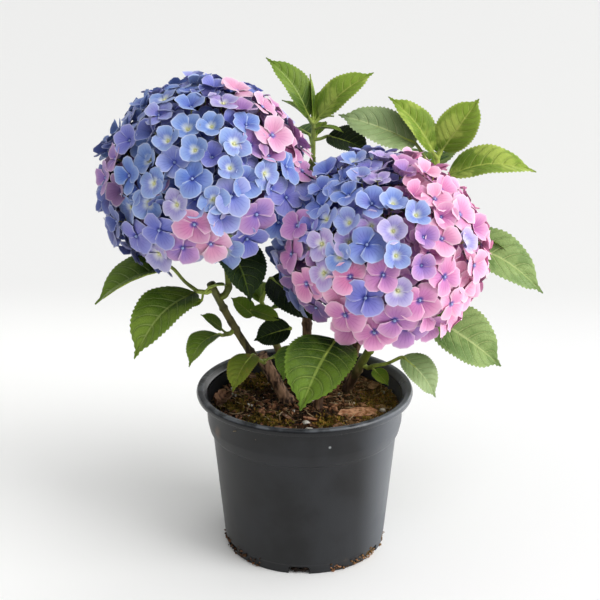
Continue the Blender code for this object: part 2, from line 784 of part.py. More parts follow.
def main():
    clear_scene()
    plant = new_collection("hydrangea")
    cutters = new_collection("cutters")
    plastic = new_material("pot_plastic", (0.035, 0.037, 0.040), 0.42)
    earth = new_material("potting_mix", (0.055, 0.032, 0.018), 0.95)
    bark = new_material("cane_bark", (0.13, 0.085, 0.045), 0.8)
    green = new_material("green_stem", (0.16, 0.22, 0.05), 0.6)
    leaf_green = new_material("leaf", (0.06, 0.15, 0.03), 0.4)
    blue = new_material("petal_blue", (0.22, 0.28, 0.72), 0.6)
    pink = new_material("petal_pink", (0.62, 0.28, 0.50), 0.6)

    trees = {}
    make_pot(plant, cutters, plastic)
    soil = make_soil(plant, earth)
    trees["soil"] = tree_of(soil)
    paths = {}
    for name, points in CANES.items():
        paths[name] = smooth_path([Vector(point) for point in points], SPAN_STEPS)
        cane = tube(name, paths[name], plant, CANE_SIDES)
        cut_level(cane, SOIL_TOP + GAP)
        cane.data.materials.append(bark)
        trees[name] = tree_of(cane)

    start, leaving = start_off(paths[SHOOT["bough"]], SHOOT["share"], direction(SHOOT["heading"], 20))
    points = [Vector((*(start + Vector(offset)), radius)) for *offset, radius in SHOOT["points"]]
    paths["shoot_left"] = branch_path(start, leaving, points, 2)
    shoot = tube("shoot_left", paths["shoot_left"], plant, CANE_SIDES)
    shoot.data.materials.append(green)
    trees["shoot_left"] = tree_of(shoot)

    left, right = (Vector(bloom["centre"]) for bloom in BLOOMS.values())
    middle, across = (left + right) / 2, (right - left).normalized()
    walls = {"bloom_left": (middle, across), "bloom_right": (middle, -across)}
    for name, bloom in BLOOMS.items():
        tint = blue if name == "bloom_left" else pink
        made = make_bloom(name, bloom, paths[bloom["bough"]], walls[name], plant, tint)
        trees[name] = tree_of(made)
    for name, tuft in TUFTS.items():
        made = make_tuft(name, tuft, paths[tuft["bough"]], plant, leaf_green, trees)
        trees[name] = tree_of(made)


main()
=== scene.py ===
import json
import math
import random

import bmesh
import bpy
import numpy as np
from mathutils import Matrix, Quaternion, Vector, noise

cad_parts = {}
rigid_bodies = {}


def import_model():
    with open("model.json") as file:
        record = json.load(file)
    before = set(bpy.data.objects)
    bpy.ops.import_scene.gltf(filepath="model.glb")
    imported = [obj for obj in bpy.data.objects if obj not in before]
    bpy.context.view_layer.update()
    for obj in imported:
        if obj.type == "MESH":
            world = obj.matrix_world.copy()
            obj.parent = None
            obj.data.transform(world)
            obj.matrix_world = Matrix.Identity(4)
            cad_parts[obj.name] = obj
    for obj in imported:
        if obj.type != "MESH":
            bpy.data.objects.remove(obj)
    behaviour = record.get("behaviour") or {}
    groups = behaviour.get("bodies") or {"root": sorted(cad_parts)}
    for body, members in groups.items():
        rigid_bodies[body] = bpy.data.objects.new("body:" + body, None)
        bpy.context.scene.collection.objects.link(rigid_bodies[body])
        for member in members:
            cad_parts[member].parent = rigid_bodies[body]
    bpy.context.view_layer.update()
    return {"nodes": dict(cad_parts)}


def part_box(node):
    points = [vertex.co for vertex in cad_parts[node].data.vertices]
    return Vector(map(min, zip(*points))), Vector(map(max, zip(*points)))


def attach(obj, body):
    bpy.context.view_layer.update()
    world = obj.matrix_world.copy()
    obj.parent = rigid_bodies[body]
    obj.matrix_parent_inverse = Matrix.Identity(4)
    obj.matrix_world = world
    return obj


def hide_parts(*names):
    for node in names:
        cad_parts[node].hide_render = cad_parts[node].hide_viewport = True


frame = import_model()
scene = bpy.context.scene
mapName = "OFBake"      # the UV map of leaves and petals: one leaf or petal fills it


def screenColour(red, green, blue):
    # 0 to 255 as a screen shows it, turned into linear numbers
    return (*(((c / 255 + 0.055) / 1.055) ** 2.4 if c > 10 else c / 3295 for c in (red, green, blue)), 1)


# small helpers for node trees

def fill(sockets, values):
    # each value is another node's output, or a plain number or colour
    for key, value in values.items():
        if isinstance(value, bpy.types.NodeSocket):
            value.id_data.links.new(value, sockets[key])
        else:
            sockets[key].default_value = value


def addNode(tree, kind, inputs=None, **settings):
    # gives the new node's outputs
    made = tree.nodes.new(kind)
    for key, value in settings.items():
        setattr(made, key, value)
    fill(made.inputs, inputs or {})
    return made.outputs


def calc(operation, *values, clamp=False):
    tree = next(value.id_data for value in values if isinstance(value, bpy.types.NodeSocket))
    return addNode(tree, "ShaderNodeMath", dict(enumerate(values)), operation=operation, use_clamp=clamp)[0]


def plus(first, second):
    return calc("ADD", first, second)


def minus(first, second):
    return calc("SUBTRACT", first, second)


def times(first, second):
    return calc("MULTIPLY", first, second)


def larger(first, second):
    return calc("MAXIMUM", first, second)


def waver(cloud, size):
    # a noise from 0 to 1, turned into a push to either side
    return times(minus(cloud, 0.5), size)


def mixColours(share, first, second):
    return addNode(share.id_data, "ShaderNodeMix", {0: share, 6: first, 7: second}, data_type="RGBA")[2]


def remap(value, low, high, toLow=0.0, toHigh=1.0):
    return addNode(value.id_data, "ShaderNodeMapRange", {0: value, 1: low, 2: high, 3: toLow, 4: toHigh},
                   interpolation_type="SMOOTHSTEP")[0]


def splitPlace(tree, kind="ShaderNodeTexCoord", output="Object", **settings):
    # where a point is, as one vector and as its three parts
    place = addNode(tree, kind, **settings)[output]
    return place, *addNode(tree, "ShaderNodeSeparateXYZ", {0: place})


def stretchPlace(place, scale):
    return addNode(place.id_data, "ShaderNodeVectorMath", {0: place, 1: scale}, operation="MULTIPLY")[0]


def newGroup(name, kind, inputs, outputs):
    # an input is given with its default, or with None where its name tells its kind
    tree = bpy.data.node_groups.new(name, kind + "NodeTree")
    for label, default in inputs.items():
        socketType = "NodeSocket" + socketKinds[label if default is None else type(default)]
        socket = tree.interface.new_socket(label, in_out="INPUT", socket_type=socketType)
        if default is not None:
            socket.default_value = default
    for label in outputs:
        socketType = "NodeSocket" + socketKinds.get(label, "Float")
        tree.interface.new_socket(label, in_out="OUTPUT", socket_type=socketType)
    return tree, tree.nodes.new("NodeGroupInput").outputs, tree.nodes.new("NodeGroupOutput").inputs


socketKinds = {float: "Float", int: "Int", str: "String", tuple: "Vector",
               "Geometry": "Geometry", "Shapes": "Collection", "Material": "Material"}


def useGroup(tree, group, **values):
    return addNode(tree, "ShaderNodeGroup", values, node_tree=group)


def dressGeometry(geometry, given, out):
    # plain geometry in the given material, as the tree's result
    tree = geometry.id_data
    real = addNode(tree, "GeometryNodeRealizeInstances", {0: geometry})[0]
    fill(out, {"Geometry": addNode(tree, "GeometryNodeSetMaterial", {0: real, 2: given["Material"]})[0]})
    return tree


def newMaterial(name, **values):
    # plain values go straight on the shader's own sockets
    material = bpy.data.materials.new(name)
    material.use_nodes = True
    shader = material.node_tree.nodes["Principled BSDF"]
    fill(shader.inputs, {key.replace("_", " "): value for key, value in values.items()})
    return material, material.node_tree, shader


def addBump(shader, height, strength, distance):
    bump = addNode(height.id_data, "ShaderNodeBump",
                   {"Height": height, "Strength": strength, "Distance": distance})
    fill(shader.inputs, {"Normal": bump[0]})


# effects shared by several materials

def makeMottle():
    # soft patches read from where a point is on the plant
    tree, given, out = newGroup("mottle", "Shader",
                                dict(Scale=40.0, Detail=4.0, Stretch=(1, 1, 1), Low=0.4, High=0.6),
                                ["Mask", "Height"])
    stretched = stretchPlace(addNode(tree, "ShaderNodeTexCoord")["Object"], given["Stretch"])
    cloud = addNode(tree, "ShaderNodeTexNoise",
                    {"Vector": stretched, "Scale": given["Scale"], "Detail": given["Detail"]})[0]
    fill(out, {"Mask": remap(cloud, given["Low"], given["High"]), "Height": cloud})
    return tree


def makeLeafVeins():
    # a leaf's map holds its upper face in the left half and its underside in the right half
    tree, given, out = newGroup("leafVeins", "Shader", dict(Pairs=8.0, Width=0.06),
                                ["Rib", "Veins", "Under", "Net", "Along", "Aside", "PaintedFurrowShade"])
    place, over, along, _ = splitPlace(tree, "ShaderNodeUVMap", "UV", uv_map=mapName)
    aside = calc("ABSOLUTE", minus(times(calc("FRACT", times(over, 1.9999)), 2.0), 1.0))
    ribWidth = remap(along, 0.0, 1.0, 0.07, 0.05)
    # the side veins leave the rib evenly and sweep forward
    slant, bow = leafMake["sweep"]
    sweep = plus(times(aside, slant), times(times(aside, aside), bow))
    phase = calc("FRACT", times(minus(along, sweep), given["Pairs"]))
    away = calc("MINIMUM", phase, minus(1.0, phase))
    thin = times(given["Width"], remap(aside, 0.0, 1.0, 1.3, 0.5))
    veins = minus(1.0, remap(away, times(thin, 0.3), thin))
    net = addNode(tree, "ShaderNodeTexVoronoi", {"Vector": place, "Scale": 34.0}, feature="DISTANCE_TO_EDGE")
    fill(out, {"Rib": minus(1.0, remap(aside, times(ribWidth, 0.35), ribWidth)),
               "Veins": times(veins, remap(aside, 0.85, 1.0, 1.0, 0.0)),
               "Under": calc("GREATER_THAN", over, 0.5),
               "Net": remap(net["Distance"], 0.0, 0.12, 1.0, 0.0),
               "Along": along, "Aside": aside,
               # a band beside each side vein, for painted shade in the furrows
               "PaintedFurrowShade": times(remap(away, 0.0, 0.30, 1.0, 0.0), remap(aside, 0.75, 1.0, 1.0, 0.0))})
    return tree


def makePetalMarks():
    # a petal's map runs across it and from its foot to its rim
    tree, given, out = newGroup("petalMarks", "Shader", dict(Reach=0.3, Lines=9.0),
                                ["Eye", "Heart", "Lines", "Rim", "Hem"])
    place, over, along, _ = splitPlace(tree, "ShaderNodeUVMap", "UV", uv_map=mapName)
    ripple = addNode(tree, "ShaderNodeTexNoise", {"Vector": place, "Scale": 5.0, "Detail": 2.0})[0]
    drawn = stretchPlace(place, (22, 1.5, 1))
    streaks = addNode(tree, "ShaderNodeTexNoise", {"Vector": drawn, "Scale": 1.0})[0]
    frayed = plus(along, waver(streaks, 0.16))
    bent = plus(over, waver(ripple, 0.05))
    wave = calc("ABSOLUTE", calc("SINE", times(bent, times(given["Lines"], math.pi))))
    lines = calc("POWER", minus(1.0, wave), 3.0)
    aside = calc("ABSOLUTE", minus(times(over, 2.0), 1.0))
    fill(out, {"Eye": remap(frayed, times(given["Reach"], 0.15), given["Reach"], 1.0, 0.0),
               "Heart": remap(along, 0.04, 0.22, 1.0, 0.0),
               "Lines": times(lines, remap(along, 0.55, 0.95, 1.0, 0.0)),
               "Rim": larger(times(remap(along, 0.35, 1.0), 0.8), remap(aside, 0.72, 1.0)),
               "Hem": larger(remap(along, 0.90, 1.0), remap(aside, 0.90, 1.0))})
    return tree


# paths, tubes and meshes

def direction(heading, rise):
    turn, climb = math.radians(heading), math.radians(rise)
    return Vector((math.cos(turn) * math.cos(climb), math.sin(turn) * math.cos(climb), math.sin(climb)))


def smoothPath(points, steps):
    ends = [points[0] * 2 - points[1], *points, points[-1] * 2 - points[-2]]
    path = []
    for before, start, end, after in zip(ends, ends[1:], ends[2:], ends[3:]):
        for step in range(steps):
            t = step / steps
            bend = before * 2 - start * 5 + end * 4 - after
            path.append(start + (end - before) * (t / 2) + bend * (t * t / 2)
                        + (start * 3 - before - end * 3 + after) * (t**3 / 2))
    path.append(points[-1])
    return path


def pointOn(path, share):
    lengths = [(end.xyz - start.xyz).length for start, end in zip(path, path[1:])]
    left = share * sum(lengths)
    for start, end, length in zip(path, path[1:], lengths):
        if left <= length or end is path[-1]:
            place = start.lerp(end, min(left / length, 1))
            return place.xyz, place.w, (end.xyz - start.xyz).normalized()
        left -= length


def knot(place, radius):
    # a point of a stem's path, with the stem's radius there
    return Vector((*place, radius))


def plainMesh(name, points, faces=(), edges=()):
    mesh = bpy.data.meshes.new(name)
    mesh.from_pydata([tuple(point) for point in points], edges, faces)
    return mesh


def shapeMesh(name, shape):
    mesh = bpy.data.meshes.new(name)
    shape.to_mesh(mesh)
    shape.free()
    return mesh


def facedOut(mesh):
    shape = bmesh.new()
    shape.from_mesh(mesh)
    bmesh.ops.recalc_face_normals(shape, faces=shape.faces)
    shape.to_mesh(mesh)
    shape.free()
    return mesh


def closedFaces(rings, sides):
    # joins a first point, rings of points and a last point into a closed skin
    faces = []
    last = 1 + (rings - 1) * sides
    for side in range(sides):
        after = (side + 1) % sides
        faces.append((0, 1 + side, 1 + after))
        for low in range(1, last, sides):
            high = low + sides
            faces.append((low + side, high + side, high + after, low + after))
        faces.append((last + side, last + sides, last + after))
    return faces


def ringPoints(radius, height, sides):
    turns = [2 * math.pi * side / sides for side in range(sides)]
    return [(radius * math.cos(turn), radius * math.sin(turn), height) for turn in turns]


def movedPart(mesh, place):
    return [place @ vert.co for vert in mesh.vertices], [tuple(face.vertices) for face in mesh.polygons], None


def newPiece(name, mesh, material=None, smooth=True):
    piece = bpy.data.objects.new(name, mesh)
    scene.collection.objects.link(piece)
    if material:
        mesh.materials.clear()
        mesh.materials.append(material)
    if smooth:
        mesh.shade_smooth()
    return piece


def drop(*pieces):
    for piece in pieces:
        bpy.data.objects.remove(piece, do_unlink=True)


def joinParts(name, parts):
    # parts are (points, faces, places on the map for each face's corners, or None)
    points, faces, spots = [], [], []
    for corners, quads, places in parts:
        base = len(points)
        points += corners
        faces += [tuple(index + base for index in quad) for quad in quads]
        spots += places or []
    mesh = plainMesh(name, points, faces)
    if spots:
        layer = mesh.uv_layers.new(name=mapName)
        layer.data.foreach_set("uv", np.array(spots, np.float32).ravel())
    mesh.validate()
    return mesh


def evaluatedMesh(piece):
    bpy.context.view_layer.update()
    graph = bpy.context.evaluated_depsgraph_get()
    return bpy.data.meshes.new_from_object(piece.evaluated_get(graph))


def runNodes(name, base, tree, material, **values):
    # gives base's mesh to a Geometry Nodes tree and keeps the result as a plain mesh
    carrier = newPiece(name + "_carrier", base, smooth=False)
    modifier = carrier.modifiers.new("nodes", "NODES")
    modifier.node_group = tree
    sockets = {item.name: item.identifier for item in tree.interface.items_tree if item.in_out == "INPUT"}
    modifier[sockets["Material"]] = material
    for key, value in values.items():
        modifier[sockets[key]] = value
    carrier.update_tag()
    made = newPiece(name, evaluatedMesh(carrier), material)
    drop(carrier)
    return made


def finishPiece(piece, slot, *nodes):
    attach(piece, "root")
    if nodes:
        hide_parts(*nodes)


# the stage

stage = {"floorSize": 14.0, "floorLeft": (253, 253, 251), "floorRight": (244, 244, 244),
         "floorFar": (231, 231, 230), "cameraPlace": (-0.0043, -1.027, 0.589), "cameraDown": 18.88,
         "lens": 72.0, "lamps": [dict(name="side", way=(3.0, -1.3, 1.6), strength=1.85, soft=38),
                   dict(name="top", way=(0.5, -1.0, 2.2), strength=0.45, soft=30)],
         "skyDim": 0.33, "skyBright": 0.95, "skyGlow": 2.8, "skyTop": 0.42, "skySeen": 0.80}


def makeStage():
    bpy.ops.mesh.primitive_plane_add(size=stage["floorSize"])
    floor = bpy.context.object
    floor.name = "floor"
    material, tree, shader = newMaterial("paleFloor", Roughness=0.55)
    _, x, y, _ = splitPlace(tree)
    left, right, far = (screenColour(*stage["floor" + part]) for part in ("Left", "Right", "Far"))
    # painted light: the floor is lighter on the left, where the plant's shadow falls, than on the right; it
    # turns greyer far back
    near = mixColours(remap(x, -0.6, 0.5), left, right)
    fill(shader.inputs, {"Base Color": mixColours(remap(y, 0.40, 0.80), near, far)})
    floor.data.materials.append(material)
    for lamp in stage["lamps"]:
        light = bpy.data.lights.new(lamp["name"], "SUN")
        light.energy = lamp["strength"]
        light.angle = math.radians(lamp["soft"])
        holder = bpy.data.objects.new(lamp["name"], light)
        holder.rotation_euler = (-Vector(lamp["way"])).to_track_quat("-Z", "Y").to_euler()
        scene.collection.objects.link(holder)
    world = bpy.data.worlds.new("studio")
    world.use_nodes = True
    sky = world.node_tree
    # brighter from the right, as beside a large window
    _, x, y, z = splitPlace(sky, output="Generated")
    light = remap(x, -0.1, 0.9, stage["skyDim"], stage["skyBright"])
    behind = plus(times(x, 0.85), times(y, 0.53))
    light = plus(light, times(remap(behind, 0.80, 1.0), stage["skyGlow"]))
    light = plus(light, times(remap(z, 0.3, 1.0), stage["skyTop"]))
    seen = addNode(sky, "ShaderNodeLightPath")["Is Camera Ray"]
    strength = addNode(sky, "ShaderNodeMix", {0: seen, 2: light, 3: stage["skySeen"]}, data_type="FLOAT")[0]
    fill(sky.nodes["Background"].inputs, {"Color": (1, 1, 1, 1), "Strength": strength})
    scene.world = world
    scene.view_settings.view_transform = "Standard"
    camera = bpy.data.cameras.new("camera")
    camera.sensor_width = 36
    camera.lens = stage["lens"]
    camera.clip_start = 0.01
    view = bpy.data.objects.new("camera", camera)
    view.location = stage["cameraPlace"]
    view.rotation_euler = (math.radians(90 - stage["cameraDown"]), 0, 0)
    scene.collection.objects.link(view)
    scene.camera = view


# the pot

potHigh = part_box("pot")[1]
pot = {"sides": 168, "rim": potHigh.x, "height": potHigh.z, "foot": 0.0754, "wall": 0.0016, "slope": 0.092,
       "step": 0.1124, "stepOut": 0.0024, "floor": 0.0093, "hub": 0.026, "footRing": 0.0042,
       "notches": 6, "notchWidth": 0.019, "notchHeight": 0.0074, "firstNotch": 266, "round": 0.0012,
       "creased": 38, "lipFrom": 0.1470, "scuffAndHighlightFrom": 0.1522}
potTones = {"wall": (8, 9, 12), "lip": (9, 11, 15), "dust": (40, 42, 46), "paintedHighlight": (94, 98, 104),
            "scuffAndHighlight": (104, 108, 114)}
potMarks = [
    # place, size, strength and tone: peaty water stains and a few specks
    ((-0.0790, -0.0430, 0.1275), 0.0100, 0.7, (100, 76, 56)),
    ((-0.0364, -0.0845, 0.1400), 0.0016, 1.0, (14, 14, 15)),
    ((0.0208, -0.0875, 0.1232), 0.0014, 1.0, (14, 14, 15)),
    ((0.0216, -0.0885, 0.1332), 0.0015, 0.8, (150, 154, 156)),
    ((-0.0560, -0.0700, 0.0130), 0.0090, 0.55, (92, 70, 50)),
    ((0.0390, -0.0710, 0.0090), 0.0080, 0.50, (92, 70, 50)),
]


def potWall(height):
    return pot["foot"] + pot["slope"] * height


def filleted(corners, radius, steps=4):
    # rounds each corner of a profile with a short curve
    path = [Vector(corners[0])]
    for before, corner, after in zip(corners, corners[1:], corners[2:]):
        before, corner, after = Vector(before), Vector(corner), Vector(after)
        back = min(radius, (before - corner).length * 0.45)
        ahead = min(radius, (after - corner).length * 0.45)
        start = corner + (before - corner).normalized() * back
        end = corner + (after - corner).normalized() * ahead
        for step in range(steps + 1):
            t = step / steps
            path.append(start * (1 - t) ** 2 + corner * (2 * t * (1 - t)) + end * t * t)
    path.append(Vector(corners[-1]))
    return path


def turnedMesh(name, profile, sides):
    # a solid of revolution whose profile starts and ends on the axis
    points = [(0, 0, profile[0][1])]
    for radius, height in profile[1:-1]:
        points += ringPoints(radius, height, sides)
    points.append((0, 0, profile[-1][1]))
    return facedOut(plainMesh(name, points, closedFaces(len(profile) - 2, sides)))


def potPlastic():
    material, tree, shader = newMaterial("potPlastic", Specular_IOR_Level=0.36)
    tones = {label: screenColour(*tone) for label, tone in potTones.items()}
    place, x, _, z = splitPlace(tree)
    dust = useGroup(tree, mottle, Scale=17.0, Detail=7.0, Low=0.40, High=0.66)
    streak = useGroup(tree, mottle, Scale=60.0, Detail=3.0, Stretch=(1, 1, 0.12), Low=0.5, High=0.8)
    fine = useGroup(tree, mottle, Scale=900.0, Detail=2.0, Low=0.4, High=0.6)
    lip = remap(z, pot["lipFrom"], pot["lipFrom"] + 0.0015)
    # a film of dust, thicker about the foot and thinner on the lip, and cut back on the left as painted shade
    dustAndShade = plus(times(dust["Mask"], 0.62), times(streak["Mask"], 0.22))
    dustAndShade = plus(dustAndShade, times(remap(z, 0.0, 0.03, 1.0, 0.0), 0.22))
    # painted shade: less of the pale film on the left, away from the light, keeps that side darker
    dustAndShade = times(dustAndShade, remap(x, -0.09, -0.03, 0.35, 1.0))
    dustAndShade = calc("MULTIPLY", dustAndShade, minus(1.0, times(lip, 0.65)), clamp=True)
    colour = mixColours(dustAndShade, mixColours(lip, tones["wall"], tones["lip"]), tones["dust"])
    # a painted highlight on the side towards the window; along the lip's edge, scuffs with a painted
    # highlight
    colour = mixColours(times(remap(x, 0.044, 0.082), 0.85), colour, tones["paintedHighlight"])
    # scuffs and a painted highlight along the lip's top edge, broken up by streaks
    scuffAndHighlightMask = remap(z, pot["scuffAndHighlightFrom"], pot["scuffAndHighlightFrom"] + 0.0018)
    scuffAndHighlightMask = times(scuffAndHighlightMask, remap(streak["Height"], 0.42, 0.62, 0.15, 0.75))
    colour = mixColours(scuffAndHighlightMask, colour, tones["scuffAndHighlight"])
    for spot, size, strength, tone in potMarks:
        away = addNode(tree, "ShaderNodeVectorMath", {0: place, 1: spot}, operation="DISTANCE")["Value"]
        ragged = plus(away, waver(dust["Height"], size * 4))
        colour = mixColours(times(remap(ragged, size * 0.3, size, 1.0, 0.0), strength), colour,
                            screenColour(*tone))
    fill(shader.inputs, {"Base Color": colour,
                         "Roughness": minus(plus(0.36, times(dustAndShade, 0.26)), times(lip, 0.14))})
    addBump(shader, plus(fine["Height"], times(dust["Height"], 2.0)), 0.12, 0.0006)
    return material


def makePot():
    wall, floor, rim, height = pot["wall"], pot["floor"], pot["rim"], pot["height"]
    step, stepHeight = potWall(pot["step"]), pot["step"]
    shoulder, ring = step + pot["stepOut"], pot["foot"] - pot["footRing"]
    profile = [(0, 0.0030), (pot["hub"] - 0.002, 0.0030), (pot["hub"] + 0.005, floor),
               (potWall(floor) - wall, floor), (step - wall, stepHeight),
               (shoulder - wall, stepHeight + 0.003), (shoulder - wall + 0.09 * (0.15 - stepHeight), 0.1500),
               (rim - 0.0057, height - 0.0003), (rim - 0.0014, height), (rim, height - 0.0030),
               (rim - 0.0008, height - 0.0067), (step + 0.0053, height - 0.0075),
               (step + 0.0046, stepHeight + 0.0120), (shoulder, stepHeight + 0.0022), (step, stepHeight),
               (potWall(0.0095), 0.0095), (potWall(0.0090) - 0.0004, 0.0086),
               (potWall(0.005) - 0.0004, 0.005), (pot["foot"] - 0.0002, 0), (ring, 0), (ring, floor - wall),
               (pot["hub"] + 0.007, floor - wall), (pot["hub"], 0), (0, 0)]
    body = newPiece("potBody", turnedMesh("pot", filleted(profile, pot["round"]), pot["sides"]))
    cutters = []
    size = Matrix.Diagonal((pot["footRing"] * 4, pot["notchWidth"], pot["notchHeight"] * 2, 1))
    for index in range(pot["notches"]):
        turn = math.radians(pot["firstNotch"] + index * 360 / pot["notches"])
        shape = bmesh.new()
        bmesh.ops.create_cube(shape, size=1)
        place = Matrix.Rotation(turn, 4, "Z") @ Matrix.Translation((pot["foot"], 0, 0)) @ size
        bmesh.ops.transform(shape, matrix=place, verts=shape.verts)
        bmesh.ops.bevel(shape, geom=shape.edges[:], offset=pot["round"], segments=3, affect="EDGES")
        cutters.append(newPiece(f"notch{index}", shapeMesh("notch", shape), smooth=False))
    for cutter in cutters:
        cut = body.modifiers.new("cut", "BOOLEAN")
        cut.operation = "DIFFERENCE"
        cut.object = cutter
        cut.solver = "EXACT"
    made = newPiece("potShell", evaluatedMesh(body), potPlastic())
    made.data.set_sharp_from_angle(angle=math.radians(pot["creased"]))
    drop(body, *cutters)
    finishPiece(made, "pot_plastic", "pot")


# the potting mix

soil = {"top": 0.1385, "rings": 60, "sectors": 150, "crowding": 0.85, "swell": 0.0042, "grain": 0.0016,
        "edge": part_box("soil")[1].x - 0.0002, "skirt": 0.012, "underTop": 0.009}
mossPatches = [((-0.036, -0.048), 0.020), ((-0.062, -0.008), 0.014), ((0.072, 0.004), 0.021),
               ((0.0225, -0.046), 0.012), ((0.020, 0.055), 0.022), ((-0.045, 0.045), 0.018),
               ((0.062, -0.040), 0.013)]
mixTones = {
    # a dark and a light tone, and how fine the patches are
    "rootlets": ((150, 120, 84), (206, 184, 146), 300.0), "peatCrumb": ((44, 29, 19), (120, 84, 54), 300.0),
    "darkPeat": ((16, 11, 8), (52, 36, 25), 300.0), "barkFlake": ((108, 68, 46), (184, 134, 98), 300.0),
    "perlite": ((214, 208, 194), (240, 237, 228), 300.0), "moss": ((66, 62, 14), (164, 146, 54), 160.0),
    "mossBrown": ((124, 84, 30), (210, 164, 82), 160.0), "redBark": ((158, 98, 68), (228, 174, 136), 240.0),
    "brownBark": ((92, 62, 44), (170, 126, 96), 240.0),
}
lumps = {
    # how many different ones, first seed, size, flatness and roughness
    "crumb": (4, 0, 0.0011, (1, 0.8, 0.65), 0.35), "clod": (4, 9, 0.0024, (1, 0.7, 0.55), 0.35),
    "flake": (4, 20, 0.0028, (1, 0.5, 0.16), 0.25), "grain": (3, 30, 0.0014, (1, 0.8, 0.8), 0.3),
}
strewn = {
    # shape, where it may lie, how many on a square metre, seed, smallest and largest, lift, tumble and finish
    "crumbs": ("crumb", "bare", 60000.0, 3, 0.5, 1.5, 0.0002, 3.1, "peatCrumb"),
    "clods": ("clod", "bare", 14000.0, 5, 0.4, 1.4, 0.0003, 3.1, "darkPeat"),
    "flakes": ("flake", "bare", 17000.0, 7, 0.5, 2.0, 0.0010, 0.6, "barkFlake"),
    "grains": ("grain", "bare", 1500.0, 12, 0.4, 1.2, 0.0014, 3.1, "perlite"),
    "rootlets": ("rootlet", "bare", 9000.0, 16, 0.5, 1.6, 0.0014, 0.4, "rootlets"),
    "mossGreen": ("sprig", "moss", 300000.0, 14, 0.5, 1.1, 0.0, 0.5, "moss"),
    "mossRusty": ("sprig", "moss", 130000.0, 19, 0.5, 1.2, 0.0, 0.5, "mossBrown"),
}
barkChips = [
    # place, heading, length, width, how far it curls, tilt and tone
    ((0.048, -0.030), 12, 0.037, 0.017, 0.10, 6, "red"),
    ((-0.078, -0.004), 70, 0.024, 0.015, 0.9, 22, "brown"),
    ((0.0047, -0.041), 150, 0.014, 0.008, 0.2, 10, "red"),
    ((-0.017, -0.036), 115, 0.018, 0.008, 0.3, 18, "brown"),
    ((-0.020, -0.058), 160, 0.016, 0.007, 0.2, 8, "brown"),
    ((0.030, -0.055), 40, 0.013, 0.008, 0.2, 14, "brown"),
    ((0.018, 0.070), 20, 0.026, 0.012, 0.3, 9, "red"),
    ((-0.052, 0.055), 100, 0.020, 0.010, 0.5, 16, "brown"),
    ((0.066, 0.036), 60, 0.019, 0.009, 0.3, 12, "brown"),
    ((0.070, -0.012), 100, 0.012, 0.007, 0.2, 10, "brown"),
]
perliteBits = [((0.0010, -0.0508), 0.0034), ((0.0038, -0.0613), 0.0036), ((-0.0733, -0.0296), 0.0022),
               ((0.0711, -0.0247), 0.0030)]
# each stretch runs from one heading to another and holds so many crumbs
footCrumbs = {"stretches": [(198, 238, 60), (288, 330, 66), (340, 356, 9), (182, 192, 7)],
              "highest": 0.0115, "barkShare": 0.35, "peatAndShadeNotches": (206, 266, 326), "notchSpread": 6.5,
              "inNotch": 46}


def soilHeight(x, y):
    reach = min(math.hypot(x, y) / soil["edge"], 1)
    hills = noise.fractal(Vector((x * 55, y * 55, 3.1)), 0.9, 2.0, 4) * soil["swell"]
    crumbs = noise.noise(Vector((x * 420, y * 420, 7.7))) * soil["grain"]
    return soil["top"] - 0.001 - 0.002 * reach**6 + (hills + crumbs) * (1 - 0.6 * reach**8)


def soilMesh():
    edge, sectors, under = soil["edge"], soil["sectors"], soil["top"] - soil["skirt"]
    points = [(0, 0, soilHeight(0, 0))]
    for ring in range(1, soil["rings"] + 1):
        radius = edge * (ring / soil["rings"]) ** soil["crowding"]
        points += [(x, y, soilHeight(x, y)) for x, y, _ in ringPoints(radius, 0, sectors)]
    points += ringPoints(edge - 0.001, under, sectors) + ringPoints(edge * 0.5, under, sectors)
    points.append((0, 0, under))
    mesh = plainMesh("soilTop", points, closedFaces(soil["rings"] + 2, sectors))
    mossy, bare = [], []
    for x, y, z in points:
        out, onTop = math.hypot(x, y), z > soil["top"] - soil["underTop"]
        best = max(math.exp(-(((x - at[0]) ** 2 + (y - at[1]) ** 2) / reach**2) ** 1.6)
                   for at, reach in mossPatches)
        mossy.append(best if onTop and out < edge - 0.003 else 0)
        bare.append(1 - 0.6 * mossy[-1] if onTop and out < edge - 0.002 else 0)
    for label, values in (("moss", mossy), ("bare", bare)):
        mesh.attributes.new(label, "FLOAT", "POINT").data.foreach_set("value", values)
    return mesh


def pickShapes(given):
    return addNode(given["Shapes"].id_data, "GeometryNodeCollectionInfo",
                   {0: given["Shapes"], 1: True, 2: True})[0]


def namedValue(tree, label, kind="FLOAT"):
    return addNode(tree, "GeometryNodeInputNamedAttribute", {0: label}, data_type=kind)[0]


